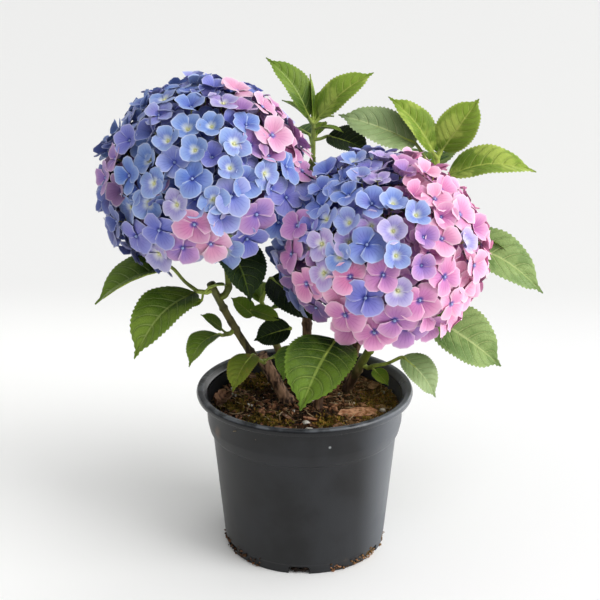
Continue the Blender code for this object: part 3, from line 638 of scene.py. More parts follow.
def makeScatter():
    # copies of a shape strewn over a surface where an attribute allows
    tree, given, out = newGroup("strewOver", "Geometry", dict(
        Geometry=None, Shapes=None, Where="bare", Density=1000.0, Seed=0, Smallest=0.5, Largest=1.5, Lift=0.0,
        Tumble=3.14, Material=None), ["Geometry"])
    seed, tumble = given["Seed"], given["Tumble"]
    density = times(namedValue(tree, given["Where"]), given["Density"])
    spread = addNode(tree, "GeometryNodeDistributePointsOnFaces",
                     {"Mesh": given["Geometry"], "Density": density, "Seed": seed})["Points"]
    rise = addNode(tree, "ShaderNodeCombineXYZ", {2: given["Lift"]})[0]
    lifted = addNode(tree, "GeometryNodeSetPosition", {"Geometry": spread, "Offset": rise})[0]
    backwards = times(tumble, -1.0)
    low = addNode(tree, "ShaderNodeCombineXYZ", {0: backwards, 1: backwards, 2: -3.14})[0]
    high = addNode(tree, "ShaderNodeCombineXYZ", {0: tumble, 1: tumble, 2: 3.14})[0]
    turn = addNode(tree, "FunctionNodeRandomValue", {"Min": low, "Max": high, "Seed": seed},
                   data_type="FLOAT_VECTOR")[0]
    size = addNode(tree, "FunctionNodeRandomValue",
                   {2: given["Smallest"], 3: given["Largest"], "Seed": seed}, data_type="FLOAT")[1]
    placed = addNode(tree, "GeometryNodeInstanceOnPoints", {
        "Points": lifted, "Instance": pickShapes(given), "Pick Instance": True, "Rotation": turn,
        "Scale": size})[0]
    return dressGeometry(placed, given, out)


def shapeCollection(name, meshes):
    holder = bpy.data.collections.new(name)
    scene.collection.children.link(holder)
    for index, mesh in enumerate(meshes):
        holder.objects.link(bpy.data.objects.new(f"{name}{index}", mesh))
    return holder


def dropCollection(holder):
    drop(*holder.objects)
    bpy.data.collections.remove(holder)


def lumpMesh(seed, size, flatness=(1, 1, 1), roughness=0.3, detail=1):
    rng = random.Random(seed)
    shape = bmesh.new()
    bmesh.ops.create_icosphere(shape, subdivisions=detail, radius=size)
    for vert in shape.verts:
        push = 1 + rng.uniform(-roughness, roughness)
        vert.co = Vector([axis * push * flat for axis, flat in zip(vert.co, flatness)])
    return shapeMesh("lump", shape)


def sprigMesh(seed):
    # a moss sprig: a few blades that lean out from one foot
    rng = random.Random(seed)
    points, faces = [], []
    for blade in range(6):
        heading, lean = blade * 60 + rng.uniform(-20, 20), rng.uniform(25, 75)
        tip = direction(heading, lean) * rng.uniform(0.0022, 0.0036)
        side = direction(heading + 90, 0) * 0.00045
        foot = direction(heading, 0) * 0.0002
        middle = foot.lerp(tip, 0.55) + Vector((0, 0, 0.0003))
        base = len(points)
        points += [foot - side * 0.6, foot + side * 0.6, middle + side, middle - side, tip]
        faces += [(base, base + 1, base + 2, base + 3), (base + 3, base + 2, base + 4)]
    return plainMesh("sprig", points, faces)


def rootletMesh(seed):
    # a fine three-sided root that wanders along the ground
    rng = random.Random(seed)
    heading, place = 0.0, Vector((-0.005, 0, 0))
    points, faces = [], []
    for step in range(6):
        aside = direction(math.degrees(heading) + 90, 0) * 0.00032
        points += [place - aside, place + aside, place + Vector((0, 0, 0.0004))]
        heading += rng.uniform(-0.7, 0.7)
        place = place + Vector((math.cos(heading), math.sin(heading), rng.uniform(-0.15, 0.25))) * 0.002
        if step:
            low, high = len(points) - 6, len(points) - 3
            faces += [(low + i, low + (i + 1) % 3, high + (i + 1) % 3, high + i) for i in range(3)]
    faces += [(2, 1, 0), tuple(len(points) - back for back in (3, 2, 1))]
    return plainMesh("rootlet", points, faces)


def shadedLeftLitRight(tree, colour):
    # painted shade darkens the mix to the left and painted light makes it paler to the right
    _, x, _, _ = splitPlace(tree)
    colour = mixColours(remap(x, -0.07, 0.03, 0.50, 0.0), colour, screenColour(16, 11, 7))
    return mixColours(remap(x, 0.01, 0.08, 0.0, 0.22), colour, screenColour(206, 168, 108))


def earthMaterial():
    material, tree, shader = newMaterial("pottingMix", Roughness=0.92, Specular_IOR_Level=0.2)
    coarse = useGroup(tree, mottle, Scale=95.0, Detail=6.0, Low=0.38, High=0.66)
    fine = useGroup(tree, mottle, Scale=620.0, Detail=5.0, Low=0.42, High=0.68)
    colour = mixColours(coarse["Mask"], screenColour(24, 16, 10), screenColour(88, 60, 36))
    colour = mixColours(times(fine["Mask"], 0.5), colour, screenColour(112, 82, 58))
    fill(shader.inputs, {"Base Color": shadedLeftLitRight(tree, colour)})
    addBump(shader, fine["Height"], 0.8, 0.0012)
    return material


def crumbMaterial(name, dark, light, scale):
    material, tree, shader = newMaterial(name, Roughness=0.9, Specular_IOR_Level=0.25)
    patches = useGroup(tree, mottle, Scale=scale, Detail=4.0, Low=0.36, High=0.66)
    colour = mixColours(patches["Mask"], screenColour(*dark), screenColour(*light))
    fill(shader.inputs, {"Base Color": shadedLeftLitRight(tree, colour)})
    addBump(shader, patches["Height"], 0.6, 0.0008)
    return material


def chipPart(chip, seed):
    # a flake of bark: a bent plate with a ragged outline, closed all round
    (x, y), heading, length, width, curl, tilt, _ = chip
    rng = random.Random(seed)
    along, across = 9, 5
    turn = Matrix.Rotation(math.radians(heading), 3, "Z") @ Matrix.Rotation(math.radians(tilt), 3, "X")
    foot = Vector((x, y, soilHeight(x, y) + 0.0016))
    ragged = [[rng.uniform(0.75, 1.08) for _ in range(along)] for _ in range(2)]
    points = []
    for level in (1, -1):
        for j in range(along):
            v = j / (along - 1) * 2 - 1
            taper = (1 - abs(v) ** 3) ** 0.5 * 0.9 + 0.1
            for i in range(across):
                u = i / (across - 1) * 2 - 1
                half = width / 2 * taper * ragged[0 if u < 0 else 1][j]
                bend = curl * width * u * u * 0.5
                thick = level * 0.0009 * (1 - abs(u) ** 4) * (1 - abs(v) ** 6)
                thick += 0.0005 * noise.noise(Vector((u * 3, v * 5, seed)))
                points.append(foot + turn @ Vector((v * length / 2, u * half, bend + thick)))
    faces = []
    layer = along * across
    for a in range(layer - across):
        if a % across < across - 1:
            faces.append((a, a + across, a + across + 1, a + 1))
            faces.append((layer + a, layer + a + 1, layer + a + across + 1, layer + a + across))
    ring = [*range(across), *range(2 * across - 1, layer, across), *range(layer - 2, layer - across - 1, -1),
            *range(layer - 2 * across, 0, -across)]
    for start, end in zip(ring, ring[1:] + ring[:1]):
        faces.append((start, end, layer + end, layer + start))
    return points, faces, None


def footCrumbPart(rng, turn, reach, height, size, tumbled):
    lump = lumpMesh(rng.randrange(10**6), size, (1, 0.75, 0.6), 0.35)
    place = Matrix.Translation((reach * math.cos(turn), reach * math.sin(turn), height))
    if tumbled:
        spun = place @ Matrix.Rotation(rng.uniform(0, 6.28), 4, "Z")
        place = spun @ Matrix.Rotation(rng.uniform(-0.8, 0.8), 4, "X")
    points, faces, _ = movedPart(lump, place)
    return [Vector((point.x, point.y, max(point.z, 0.0001))) for point in points], faces, None


def makeFootCrumbs(materials):
    # peat that has washed out of the drainage notches and clings about the foot
    rng = random.Random(77)
    parts = {"peat": [], "bark": [], "dark": []}
    for begin, end, count in footCrumbs["stretches"]:
        for _ in range(count):
            turn, size = math.radians(rng.uniform(begin, end)), rng.uniform(0.0006, 0.0017)
            height = min(size * 0.6 + abs(rng.gauss(0, 0.0042)), footCrumbs["highest"])
            reach = potWall(height) + rng.uniform(-0.0008, 0.0007)
            part = footCrumbPart(rng, turn, reach, height, size, True)
            parts["bark" if rng.random() < footCrumbs["barkShare"] else "peat"].append(part)
    spread = footCrumbs["notchSpread"]
    # dark peat lumps packed into three notches: washed-out peat, and also a dark fill standing for the shade
    # inside them (painted shade)
    for notch in footCrumbs["peatAndShadeNotches"]:
        for _ in range(footCrumbs["inNotch"]):
            turn, size = math.radians(notch + rng.uniform(-spread, spread)), rng.uniform(0.0012, 0.0022)
            reach = pot["foot"] - rng.uniform(0.0014, 0.0050)
            height = rng.uniform(size, pot["notchHeight"] - 0.001)
            parts["dark"].append(footCrumbPart(rng, turn, reach, height, size, False))
    for label, finish in (("peat", "peatCrumb"), ("bark", "barkFlake"), ("dark", "darkPeat")):
        mesh = joinParts("footCrumbs", parts[label])
        finishPiece(newPiece("footCrumbs_" + label, mesh, materials[finish]), "potting_mix")


def makeSoil():
    top = newPiece("soilTop", facedOut(soilMesh()), earthMaterial())
    finishPiece(top, "potting_mix", "soil")
    shapes = {label: shapeCollection(label, [lumpMesh(first + index, *rest) for index in range(count)])
              for label, (count, first, *rest) in lumps.items()}
    shapes["sprig"] = shapeCollection("sprig", [sprigMesh(seed) for seed in range(4)])
    shapes["rootlet"] = shapeCollection("rootlet", [rootletMesh(seed) for seed in range(4)])
    materials = {name: crumbMaterial(name, *tones) for name, tones in mixTones.items()}
    base, strew = soilMesh(), makeScatter()
    for label, (shape, where, density, seed, small, large, lift, tumble, finish) in strewn.items():
        made = runNodes("soil_" + label, base.copy(), strew, materials[finish], Shapes=shapes[shape],
                        Where=where, Density=density, Seed=seed, Smallest=small, Largest=large, Lift=lift,
                        Tumble=tumble)
        finishPiece(made, "potting_mix")
    for holder in shapes.values():
        dropCollection(holder)
    for tone in ("red", "brown"):
        parts = [chipPart(chip, index) for index, chip in enumerate(barkChips) if chip[-1] == tone]
        chips = newPiece("barkChips_" + tone, facedOut(joinParts("chips", parts)), materials[tone + "Bark"])
        chips.data.set_sharp_from_angle(angle=math.radians(50))
        finishPiece(chips, "potting_mix")
    parts = []
    for index, ((x, y), size) in enumerate(perliteBits):
        place = Matrix.Translation((x, y, soilHeight(x, y) + size * 0.4))
        parts.append(movedPart(lumpMesh(50 + index, size, (1, 0.7, 0.6), 0.22, 2), place))
    finishPiece(newPiece("perliteBits", joinParts("perliteBits", parts), materials["perlite"]), "potting_mix")
    makeFootCrumbs(materials)


# canes

canes = {
    "cane_left": [(-0.018, 0.024, 0.128, 0.0052), (-0.036, 0.017, 0.163, 0.0043),
                  (-0.050, 0.013, 0.182, 0.0038), (-0.067, 0.008, 0.213, 0.0035),
                  (-0.085, 0.000, 0.254, 0.0033)],
    "cane_old": [(-0.011, 0.001, 0.128, 0.0068), (-0.027, 0.000, 0.159, 0.0056),
                 (-0.040, -0.003, 0.186, 0.0045)],
    "cane_right": [(0.036, 0.029, 0.128, 0.0052), (0.054, 0.015, 0.172, 0.0042),
                   (0.065, 0.006, 0.197, 0.0037), (0.069, 0.000, 0.224, 0.0034)],
    "cane_front": [(0.010, -0.012, 0.128, 0.0045), (0.016, -0.022, 0.165, 0.0036),
                   (0.024, -0.034, 0.200, 0.0030)],
    "cane_middle": [(-0.004, 0.034, 0.128, 0.0042), (-0.024, 0.034, 0.175, 0.0034),
                    (-0.036, 0.034, 0.212, 0.0028)],
    "cane_back_left": [(0.004, 0.050, 0.128, 0.0052), (0.002, 0.070, 0.200, 0.0044),
                       (0.002, 0.086, 0.280, 0.0036), (0.008, 0.090, 0.350, 0.0030)],
    "cane_back_right": [(0.032, 0.046, 0.128, 0.0052), (0.070, 0.078, 0.215, 0.0044),
                        (0.104, 0.088, 0.285, 0.0036), (0.122, 0.078, 0.332, 0.0030)],
}
caneMake = {"sides": 28, "rough": 0.8, "oldRough": 1.6, "step": 0.0010, "ridge": 0.00042, "node": 0.00070,
            "nodeSpacing": 0.026, "gap": 0.0003, "greenFrom": {"cane_left": 0.222, "cane_old": 0.60,
                                                               "cane_right": 0.160, "cane_front": 0.165,
                          "cane_middle": 0.170, "cane_back_left": 0.235, "cane_back_right": 0.235},
            "tones": {"cane_old": {"brown": (52, 34, 24), "paleBrown": (168, 132, 104)},
                      "cane_left": {"brown": (56, 48, 30), "paleBrown": (112, 104, 62),
                                    "green": (104, 106, 50)}}}
shoot = {"bough": "cane_left", "share": 0.88, "heading": 10, "rough": 0.35,
         "points": [(0.006, 0.002, 0.010, 0.0033), (0.004, 0.006, 0.030, 0.0031),
                    (-0.001, 0.008, 0.050, 0.0030)]}
lead = 0.003        # how far a branch runs straight out before it bends


def startOff(path, share, way):
    place, radius, onward = pointOn(path, share)
    if share >= 1:
        return place + onward * caneMake["gap"], onward
    side = (way - onward * way.dot(onward)).normalized()
    return place + side * (radius + caneMake["gap"]), side


def branchPath(start, leaving, points, steps):
    radius = points[0].w
    return [knot(start, radius), *smoothPath([knot(start + leaving * lead, radius), *points], steps)]


def canePart(path, seed, rough, lowest=0.0):
    # a limb with lengthwise ridges and swollen nodes, closed at both ends
    length = sum((end.xyz - start.xyz).length for start, end in zip(path, path[1:]))
    rings, sides = max(int(length / caneMake["step"]), 8), caneMake["sides"]
    across = Vector((0, 1, 0))
    points = [pointOn(path, 0)[0]]
    for ring in range(rings + 1):
        place, radius, onward = pointOn(path, ring / rings)
        across = (across - onward * across.dot(onward)).normalized()
        side = onward.cross(across)
        travelled = length * ring / rings
        fromNode = (travelled / caneMake["nodeSpacing"]) % 1 - 0.5
        swell = math.exp(-(fromNode / 0.07) ** 2) * caneMake["node"] * (0.5 + rough)
        for x, y, _ in ringPoints(1, 0, sides):
            ridge = noise.fractal(Vector((x * 2.6, y * 2.6, travelled * 38 + seed * 9)), 0.7, 2.1, 4)
            split = noise.noise(Vector((x * 6, y * 6, travelled * 55 + seed * 5)))
            relief = ridge * caneMake["ridge"] * rough + (0.0005 * rough if split > 0.35 else 0) + swell
            points.append(place + (across * x + side * y) * (radius * 0.95 + relief))
    points.append(pointOn(path, 1)[0])
    for point in points:
        point.z = max(point.z, lowest)
    return points, closedFaces(rings + 1, sides), None


def stemMaterial(name, greenFrom, brown=(70, 50, 36), paleBrown=(140, 108, 82), green=(116, 128, 48)):
    # bark that turns to smooth green skin about the height greenFrom
    material, tree, shader = newMaterial(name, Specular_IOR_Level=0.35)
    strips = useGroup(tree, mottle, Scale=230.0, Detail=5.0, Stretch=(1, 1, 0.22), Low=0.38, High=0.64)
    patches = useGroup(tree, mottle, Scale=70.0, Detail=4.0, Low=0.42, High=0.62)
    specks = useGroup(tree, mottle, Scale=1500.0, Detail=1.0, Low=0.66, High=0.70)
    bark = mixColours(strips["Mask"], screenColour(*brown), screenColour(*paleBrown))
    fresh = mixColours(patches["Mask"], screenColour(*green), screenColour(*(part * 0.72 for part in green)))
    fresh = mixColours(times(specks["Mask"], 0.6), fresh, screenColour(84, 60, 38))
    _, _, _, height = splitPlace(tree)
    grown = remap(plus(height, waver(patches["Height"], 0.05)), greenFrom - 0.012, greenFrom + 0.02)
    fill(shader.inputs, {"Base Color": mixColours(grown, bark, fresh),
                         "Roughness": remap(grown, 0.0, 1.0, 0.82, 0.5)})
    addBump(shader, strips["Height"], 0.5, 0.0008)
    return material


def makeCanes():
    paths = {}
    for index, (name, points) in enumerate(canes.items()):
        paths[name] = smoothPath([Vector(point) for point in points], 8)
        rough = caneMake["oldRough" if name == "cane_old" else "rough"]
        part = canePart(paths[name], index + 1, rough, soil["top"] - 0.004)
        material = stemMaterial(name + "Bark", caneMake["greenFrom"][name], **caneMake["tones"].get(name, {}))
        made = newPiece(name + "_bark", facedOut(joinParts(name, [part])), material)
        finishPiece(made, "cane_bark", name)
    start, leaving = startOff(paths[shoot["bough"]], shoot["share"], direction(shoot["heading"], 20))
    points = [knot(start + Vector(offset), radius) for *offset, radius in shoot["points"]]
    paths["shoot_left"] = branchPath(start, leaving, points, 6)
    part = canePart([knot(start - leaving * 0.002, points[0].w)] + paths["shoot_left"], 12, shoot["rough"])
    made = newPiece("shootStem", facedOut(joinParts("shoot", [part])), stemMaterial("greenShoot", 0.0))
    finishPiece(made, "green_stem", "shoot_left")
    return paths


# leaves

# youngForm is a young leaf's teeth, its columns and its pairs of side veins
leafMake = {"teeth": 21, "toothDepth": 0.0024, "across": 12, "sharpness": (0.55, 0.82), "fold": 0.44,
            "quilt": 0.0012, "pairs": 8, "sweep": (0.13, 0.13), "wave": 0.020, "thickness": 0.0006,
            "petiole": 0.0016, "twig": 0.0022, "slimBelow": 0.03, "slimmer": 0.7, "fit": 0.004,
            "youngForm": (11, 8, 6)}
growth = {"pairStep": 0.42, "pairFan": (78, 36), "pairLengths": (0.068, 0.088), "pairStalks": (0.020, 0.030),
          "pairRise": (8, 26), "pairDroop": (14, 28), "youngChance": 0.35, "youngLengths": (0.019, 0.030)}


def leafRow(at, stalk, blade, width, arch, roll, tint, fold=leafMake["fold"]):
    # where along the twig, then the stalk and the blade, each by its heading, rise and length
    return dict(at=at, stalk=stalk, blade=blade, width=width, arch=arch, roll=roll, tint=tint, fold=fold)


tufts = {
    "foliage_left": dict(seed=31, bough="cane_left", share=0.95, twig=(190, 10, 0.010), leaves=[
        leafRow(0.9, (176, 44, 0.032), (190, -22, 0.076), 0.046, 0.07, -10, "clear", fold=0.75),
        leafRow(1.0, (254, 5, 0.005), (223, -30, 0.082), 0.054, 0.12, -8, "clear"),
        leafRow(0.5, (250, -60, 0.008), (200, -8, 0.021), 0.010, 0.0, -40, "young"),
    ]),
    "foliage_left_front": dict(seed=34, bough="shoot_left", share=0.75, twig=(300, 10, 0.008), leaves=[
        leafRow(1.0, (254, 45, 0.031), (308, -46, 0.062), 0.050, 0.08, -8, "dark"),
    ]),
    "foliage_left_low": dict(seed=37, bough="cane_left", share=0.64, twig=(225, 5, 0.007), leaves=[
        leafRow(1.0, (251, 19, 0.015), (221, -27, 0.041), 0.029, 0.18, 1, "clear"),
        leafRow(0.6, (215, 40, 0.009), (205, 42, 0.026), 0.015, 0.05, -40, "mid"),
    ]),
    "foliage_foot": dict(seed=40, bough="cane_old", share=0.93, twig=(262, 25, 0.008), leaves=[
        leafRow(1.0, (238, 38, 0.019), (243, -26, 0.043), 0.027, 0.12, 0, "olive"),
    ]),
    "foliage_middle": dict(seed=43, bough="cane_middle", share=1.0, twig=(200, 70, 0.012), leaves=[
        leafRow(0.3, (190, -25, 0.012), (182, 42, 0.027), 0.019, 0.05, -50, "young"),
        leafRow(0.6, (228, 0, 0.016), (345, -14, 0.030), 0.018, 0.05, 30, "young"),
        leafRow(0.2, (317, -15, 0.034), (183, -18, 0.036), 0.026, 0.06, -50, "dark"),
        leafRow(1.0, (41, 60, 0.023), (327, -33, 0.059), 0.043, 0.06, 29, "dark"),
    ]),
    "foliage_front": dict(seed=46, bough="cane_front", share=1.0, twig=(275, 55, 0.010), leaves=[
        leafRow(1.0, (274, 28, 0.027), (243, -27, 0.078), 0.059, 0.10, -8, "deep"),
        leafRow(0.1, (192, 14, 0.033), (240, -42, 0.034), 0.024, 0.10, 0, "mid"),
    ]),
    "foliage_right_low": dict(seed=49, bough="cane_right", share=0.44, twig=(330, 30, 0.008), leaves=[
        leafRow(1.0, (334, 26, 0.030), (335, -42, 0.048), 0.032, 0.14, 25, "pale"),
        leafRow(0.6, (290, 0, 0.007), (308, -24, 0.022), 0.014, 0.05, 20, "young"),
    ]),
    "foliage_right": dict(seed=52, bough="cane_right", share=0.90, twig=(15, 20, 0.012), leaves=[
        leafRow(1.0, (20, 0, 0.030), (354, -33, 0.086), 0.054, 0.08, 42, "grey"),
        leafRow(0.8, (60, 10, 0.020), (75, -25, 0.060), 0.040, 0.12, 0, "mid"),
    ]),
    "foliage_top_left": dict(seed=55, bough="cane_back_left", share=1.0, twig=(270, 86, 0.030), leaves=[
        leafRow(1.0, (180, 55, 0.008), (180, 56, 0.067), 0.032, 0.08, -40, "clear", fold=0.6),
        leafRow(1.0, (0, 45, 0.008), (6, 41, 0.065), 0.031, 0.10, 42, "light", fold=0.6),
        leafRow(1.0, (110, 72, 0.006), (105, 76, 0.040), 0.016, 0.0, 60, "young"),
        leafRow(0.9, (60, 65, 0.006), (50, 68, 0.030), 0.013, 0.0, 30, "young"),
        leafRow(0.5, (350, 15, 0.014), (335, -14, 0.044), 0.032, 0.06, 30, "dark"),
        leafRow(0.3, (100, 20, 0.020), (110, -12, 0.070), 0.044, 0.12, 0, "mid"),
    ]),
    "foliage_top_right": dict(seed=58, bough="cane_back_right", share=1.0, twig=(300, 82, 0.018), leaves=[
        leafRow(1.0, (180, 50, 0.008), (180, 52, 0.066), 0.031, 0.08, -45, "light", fold=0.6),
        leafRow(1.0, (20, 60, 0.008), (9, 55, 0.058), 0.037, 0.06, 60, "light"),
        leafRow(0.15, (350, 0, 0.012), (354, 7, 0.081), 0.046, 0.12, 26, "light"),
        leafRow(0.4, (200, 50, 0.034), (171, 20, 0.077), 0.038, 0.06, -50, "pale"),
        leafRow(0.9, (80, 40, 0.008), (70, 32, 0.034), 0.020, 0.05, 0, "young"),
        leafRow(0.2, (90, 20, 0.020), (80, -14, 0.074), 0.046, 0.12, 0, "mid"),
    ]),
    "foliage_back": dict(
        seed=61, bough="cane_back_left", share=0.62, twig=(120, 20, 0.014), face=95, leaves=[]),
    "foliage_back_right": dict(
        seed=64, bough="cane_back_right", share=0.72, twig=(330, 10, 0.012), face=45,
        leaves=[leafRow(1.0, (325, 6, 0.030), (354, -27, 0.102), 0.050, 0.10, 38, "grey")]),
}


def pairRows(tuft, rng):
    # pairs of leaves that fan out down the twig, where the mass is out of sight
    rows = []
    if "face" not in tuft:
        return rows
    for index, fan in enumerate(growth["pairFan"]):
        for side in (-1, 1):
            heading = tuft["face"] + side * fan + rng.uniform(-8, 8)
            length = rng.uniform(*growth["pairLengths"])
            stalk = (heading, rng.uniform(*growth["pairRise"]), rng.uniform(*growth["pairStalks"]))
            blade = (heading + rng.uniform(-10, 10), -rng.uniform(*growth["pairDroop"]), length)
            rows.append(leafRow(1 - growth["pairStep"] * index, stalk, blade, length * 0.62, 0.12, 0, "mid"))
    return rows


def youngRows(leaves, rng):
    # now and then a young leaf beside the foot of a grown one
    rows = []
    for leaf in leaves:
        heading = leaf["stalk"][0] + rng.choice((-1, 1)) * rng.uniform(50, 110)
        rise = rng.uniform(15, 55)
        length = rng.uniform(*growth["youngLengths"])
        stalk = (heading, rise, rng.uniform(0.006, 0.010))
        blade = (heading + rng.uniform(-20, 20), rise - 20, length)
        if rng.random() < growth["youngChance"]:
            rows.append(leafRow(leaf["at"] * 0.9, stalk, blade, length * 0.55, 0.06, 0, "young"))
    return rows


def leafFrame(leaf):
    heading, rise, _ = leaf["blade"]
    way = direction(heading, rise)
    across = direction(heading - 90, 0)
    across.rotate(Quaternion(way, math.radians(leaf["roll"])))
    return way, across, across.cross(way)


def leafSpine(base, leaf, t):
    way, _, upper = leafFrame(leaf)
    length = leaf["blade"][2]
    lift = leaf["arch"] * length * (math.sin(math.pi * t) - 0.6 * t * t)
    return base + way * (length * t) + upper * lift


def leafHalfWidth(leaf, t):
    rising, falling = leafMake["sharpness"]
    widest = rising / (rising + falling)
    full = t**rising * (1 - t) ** falling / (widest**rising * (1 - widest) ** falling)
    # the outline fills out, then draws in to a drip tip
    return leaf["width"] / 2 * full * (1 - 0.62 * math.exp(-(((t - 0.94) / 0.085) ** 2)))


def leafPart(base, leaf, seed):
    # a thin closed blade with forward-pointing teeth, quilted between its side veins
    length = leaf["blade"][2]
    big = length > growth["youngLengths"][1]
    grownForm = (leafMake["teeth"], leafMake["across"], leafMake["pairs"])
    teeth, columns, pairs = grownForm if big else leafMake["youngForm"]
    depth = leafMake["toothDepth"] * (min(length / 0.075, 1.1) if big else 0.3)
    _, across, upper = leafFrame(leaf)
    slant, bow = leafMake["sweep"]
    rows = [0.0] + [(tooth + phase) / teeth for tooth in range(teeth) for phase in (0.30, 0.65, 0.96)] + [1.0]
    rng = random.Random(seed)
    sway, twist, curl = rng.uniform(-0.02, 0.02), rng.uniform(-0.10, 0.10), rng.uniform(0, 6.28)
    points, lower, spots = [], [], []
    for t in rows:
        middle = leafSpine(base, leaf, t) + across * (sway * length * math.sin(math.pi * t))
        half = max(leafHalfWidth(leaf, t), 0.0004)
        toothed = depth * ((t * teeth) % 1 - 0.5) * (1 if 0.10 < t < 0.97 else 0)
        for column in range(columns + 1):
            s = column / columns * 2 - 1
            aside = abs(s)
            wide = s * (half + toothed * max(0, (aside - 0.6) / 0.4))
            vein = (t - slant * aside - bow * aside * aside) * pairs
            puff = abs(math.sin(math.pi * vein)) ** 0.7 * (1 - aside**3) * min(1, aside * 5)
            height = aside * half * leaf["fold"] * (1 - 0.35 * aside)
            height += leafMake["quilt"] * (length / 0.08) * puff
            height += leafMake["wave"] * half * aside**2 * math.sin(t * 17 + curl + (1.3 if s > 0 else 0))
            height += twist * s * half * t
            points.append(middle + across * wide + upper * height)
            spots.append((column / columns, t))
            rim = column in (0, columns) or t in (0.0, 1.0)
            lower.append(points[-1] if rim else points[-1] - upper * leafMake["thickness"])
    count, width = len(points), columns + 1
    faces, places = [], []
    for a in range(count - width):
        if a % width == columns:
            continue
        quad = (a, a + 1, a + width + 1, a + width)
        back = quad[::-1]
        faces += [quad, tuple(i + count for i in back)]
        places += [(spots[i][0] * 0.499, spots[i][1]) for i in quad]
        places += [(0.501 + spots[i][0] * 0.499, spots[i][1]) for i in back]
    return points + lower, faces, places


leafTints = {
    # the tip's, the foot's, the flushed patches', the veins' and the underside's colour, then how rough,
    # how patchy and how clearly veined
    # painted shade: the dark tint is a darkened leaf green for leaves that sit in shadow under the blooms
    "dark": ((24, 44, 8), (14, 32, 6), (36, 60, 12), (100, 122, 46), (76, 98, 50), 0.46, 0.20, 0.32),
    # painted light: the clear tint is the deep green made lighter for leaves that sit in shade
    "clear": ((118, 148, 44), (66, 94, 24), (140, 164, 60), (168, 188, 104), (126, 148, 84),
              0.42, 0.35, 0.46),
    "deep": ((100, 130, 34), (30, 56, 8), (116, 146, 42), (146, 168, 76), (106, 128, 66), 0.42, 0.30, 0.50),
    "mid": ((92, 124, 30), (48, 80, 18), (126, 152, 42), (156, 176, 84), (118, 140, 74), 0.42, 0.40, 0.50),
    "olive": ((122, 138, 38), (92, 112, 26), (148, 126, 58), (144, 150, 70), (110, 120, 62),
              0.48, 0.75, 0.30),
    "light": ((138, 166, 54), (102, 132, 34), (190, 206, 96), (180, 194, 92), (150, 170, 84),
              0.44, 0.58, 0.46),
    "grey": ((122, 148, 82), (84, 116, 52), (156, 178, 108), (182, 198, 128), (150, 168, 106),
             0.46, 0.50, 0.45),
    # painted sheen: the pale tint is a greyed, lightened green for a leaf lit from above
    "pale": ((160, 182, 128), (126, 150, 92), (178, 196, 142), (196, 210, 150), (150, 168, 106),
             0.44, 0.40, 0.40),
    "young": ((136, 164, 48), (108, 144, 36), (170, 186, 64), (190, 204, 104), (160, 180, 90),
              0.46, 0.30, 0.30),
}


def leafMaterial(tint):
    *colours, gloss, patchy, veined = leafTints[tint]
    top, deep, flush, vein, under = (screenColour(*colour) for colour in colours)
    material, tree, shader = newMaterial("leaf_" + tint, Specular_IOR_Level=0.24)
    veins = useGroup(tree, leafVeins, Pairs=float(leafMake["pairs"]), Width=0.088)
    patches = useGroup(tree, mottle, Scale=34.0, Detail=3.0, Low=0.48, High=0.58)
    colour = mixColours(remap(veins["Along"], 0.1, 0.95, 0.0, 0.9), deep, top)
    layers = [(times(patches["Mask"], patchy), flush), (remap(veins["Aside"], 0.82, 1.0, 0.0, 0.4), flush),
              # painted shade: the furrows beside the side veins are darkened towards the foot's colour
              (times(veins["PaintedFurrowShade"], 0.5), deep), (times(veins["Net"], 0.08), vein),
              (times(veins["Veins"], veined), vein), (times(veins["Rib"], 0.75), vein)]
    for share, tone in layers:
        colour = mixColours(share, colour, tone)
    pale = mixColours(larger(veins["Rib"], times(veins["Veins"], 0.7)), under, vein)
    rough = plus(plus(gloss, times(veins["Under"], 0.25)), times(veins["Net"], 0.08))
    fill(shader.inputs, {"Base Color": mixColours(veins["Under"], colour, pale), "Roughness": rough})
    addBump(shader, minus(1.0, plus(times(veins["Net"], 0.35), veins["Veins"])), 0.7, 0.0011)
    return material


def makeStemSkin():
    # gives a net of lines a round skin, as thick as each point's radius
    tree, given, out = newGroup("stemSkin", "Geometry", dict(Geometry=None, Sides=7, Material=None),
                                ["Geometry"])
    lines = addNode(tree, "GeometryNodeMeshToCurve", {0: given["Geometry"]})[0]
    ring = addNode(tree, "GeometryNodeCurvePrimitiveCircle", {"Resolution": given["Sides"], "Radius": 1.0})[0]
    skin = addNode(tree, "GeometryNodeCurveToMesh", {
        "Curve": lines, "Profile Curve": ring, "Scale": namedValue(tree, "thick"), "Fill Caps": True})[0]
    return dressGeometry(addNode(tree, "GeometryNodeSetShadeSmooth", {0: skin})[0], given, out)


def lineMesh(name, paths):
    points, edges = [], []
    for path in paths:
        base = len(points)
        points += path
        edges += [(base + index, base + index + 1) for index in range(len(path) - 1)]
    mesh = plainMesh(name, [point.xyz for point in points], edges=edges)
    mesh.attributes.new("thick", "FLOAT", "POINT").data.foreach_set("value", [point.w for point in points])
    return mesh


def stalkPath(root, base, leaf):
    # from the twig to the blade's foot, then along under its midrib
    thin = leafMake["petiole"] * (1 if leaf["blade"][2] > leafMake["slimBelow"] else leafMake["slimmer"])
    below = -leafFrame(leaf)[2]
    bend = root.lerp(base, 0.5) + Vector((0, 0, -0.06 * leaf["stalk"][2]))
    path = smoothPath([knot(root, thin * 1.25), knot(bend, thin), knot(base, thin),
                       knot(leafSpine(base, leaf, 0.12) + below * thin * 0.4, thin * 0.85)], 4)
    for step in (0.3, 0.5, 0.7, 0.88):
        path.append(knot(leafSpine(base, leaf, step) + below * thin * 0.35, thin * (0.85 - 0.7 * step)))
    return path


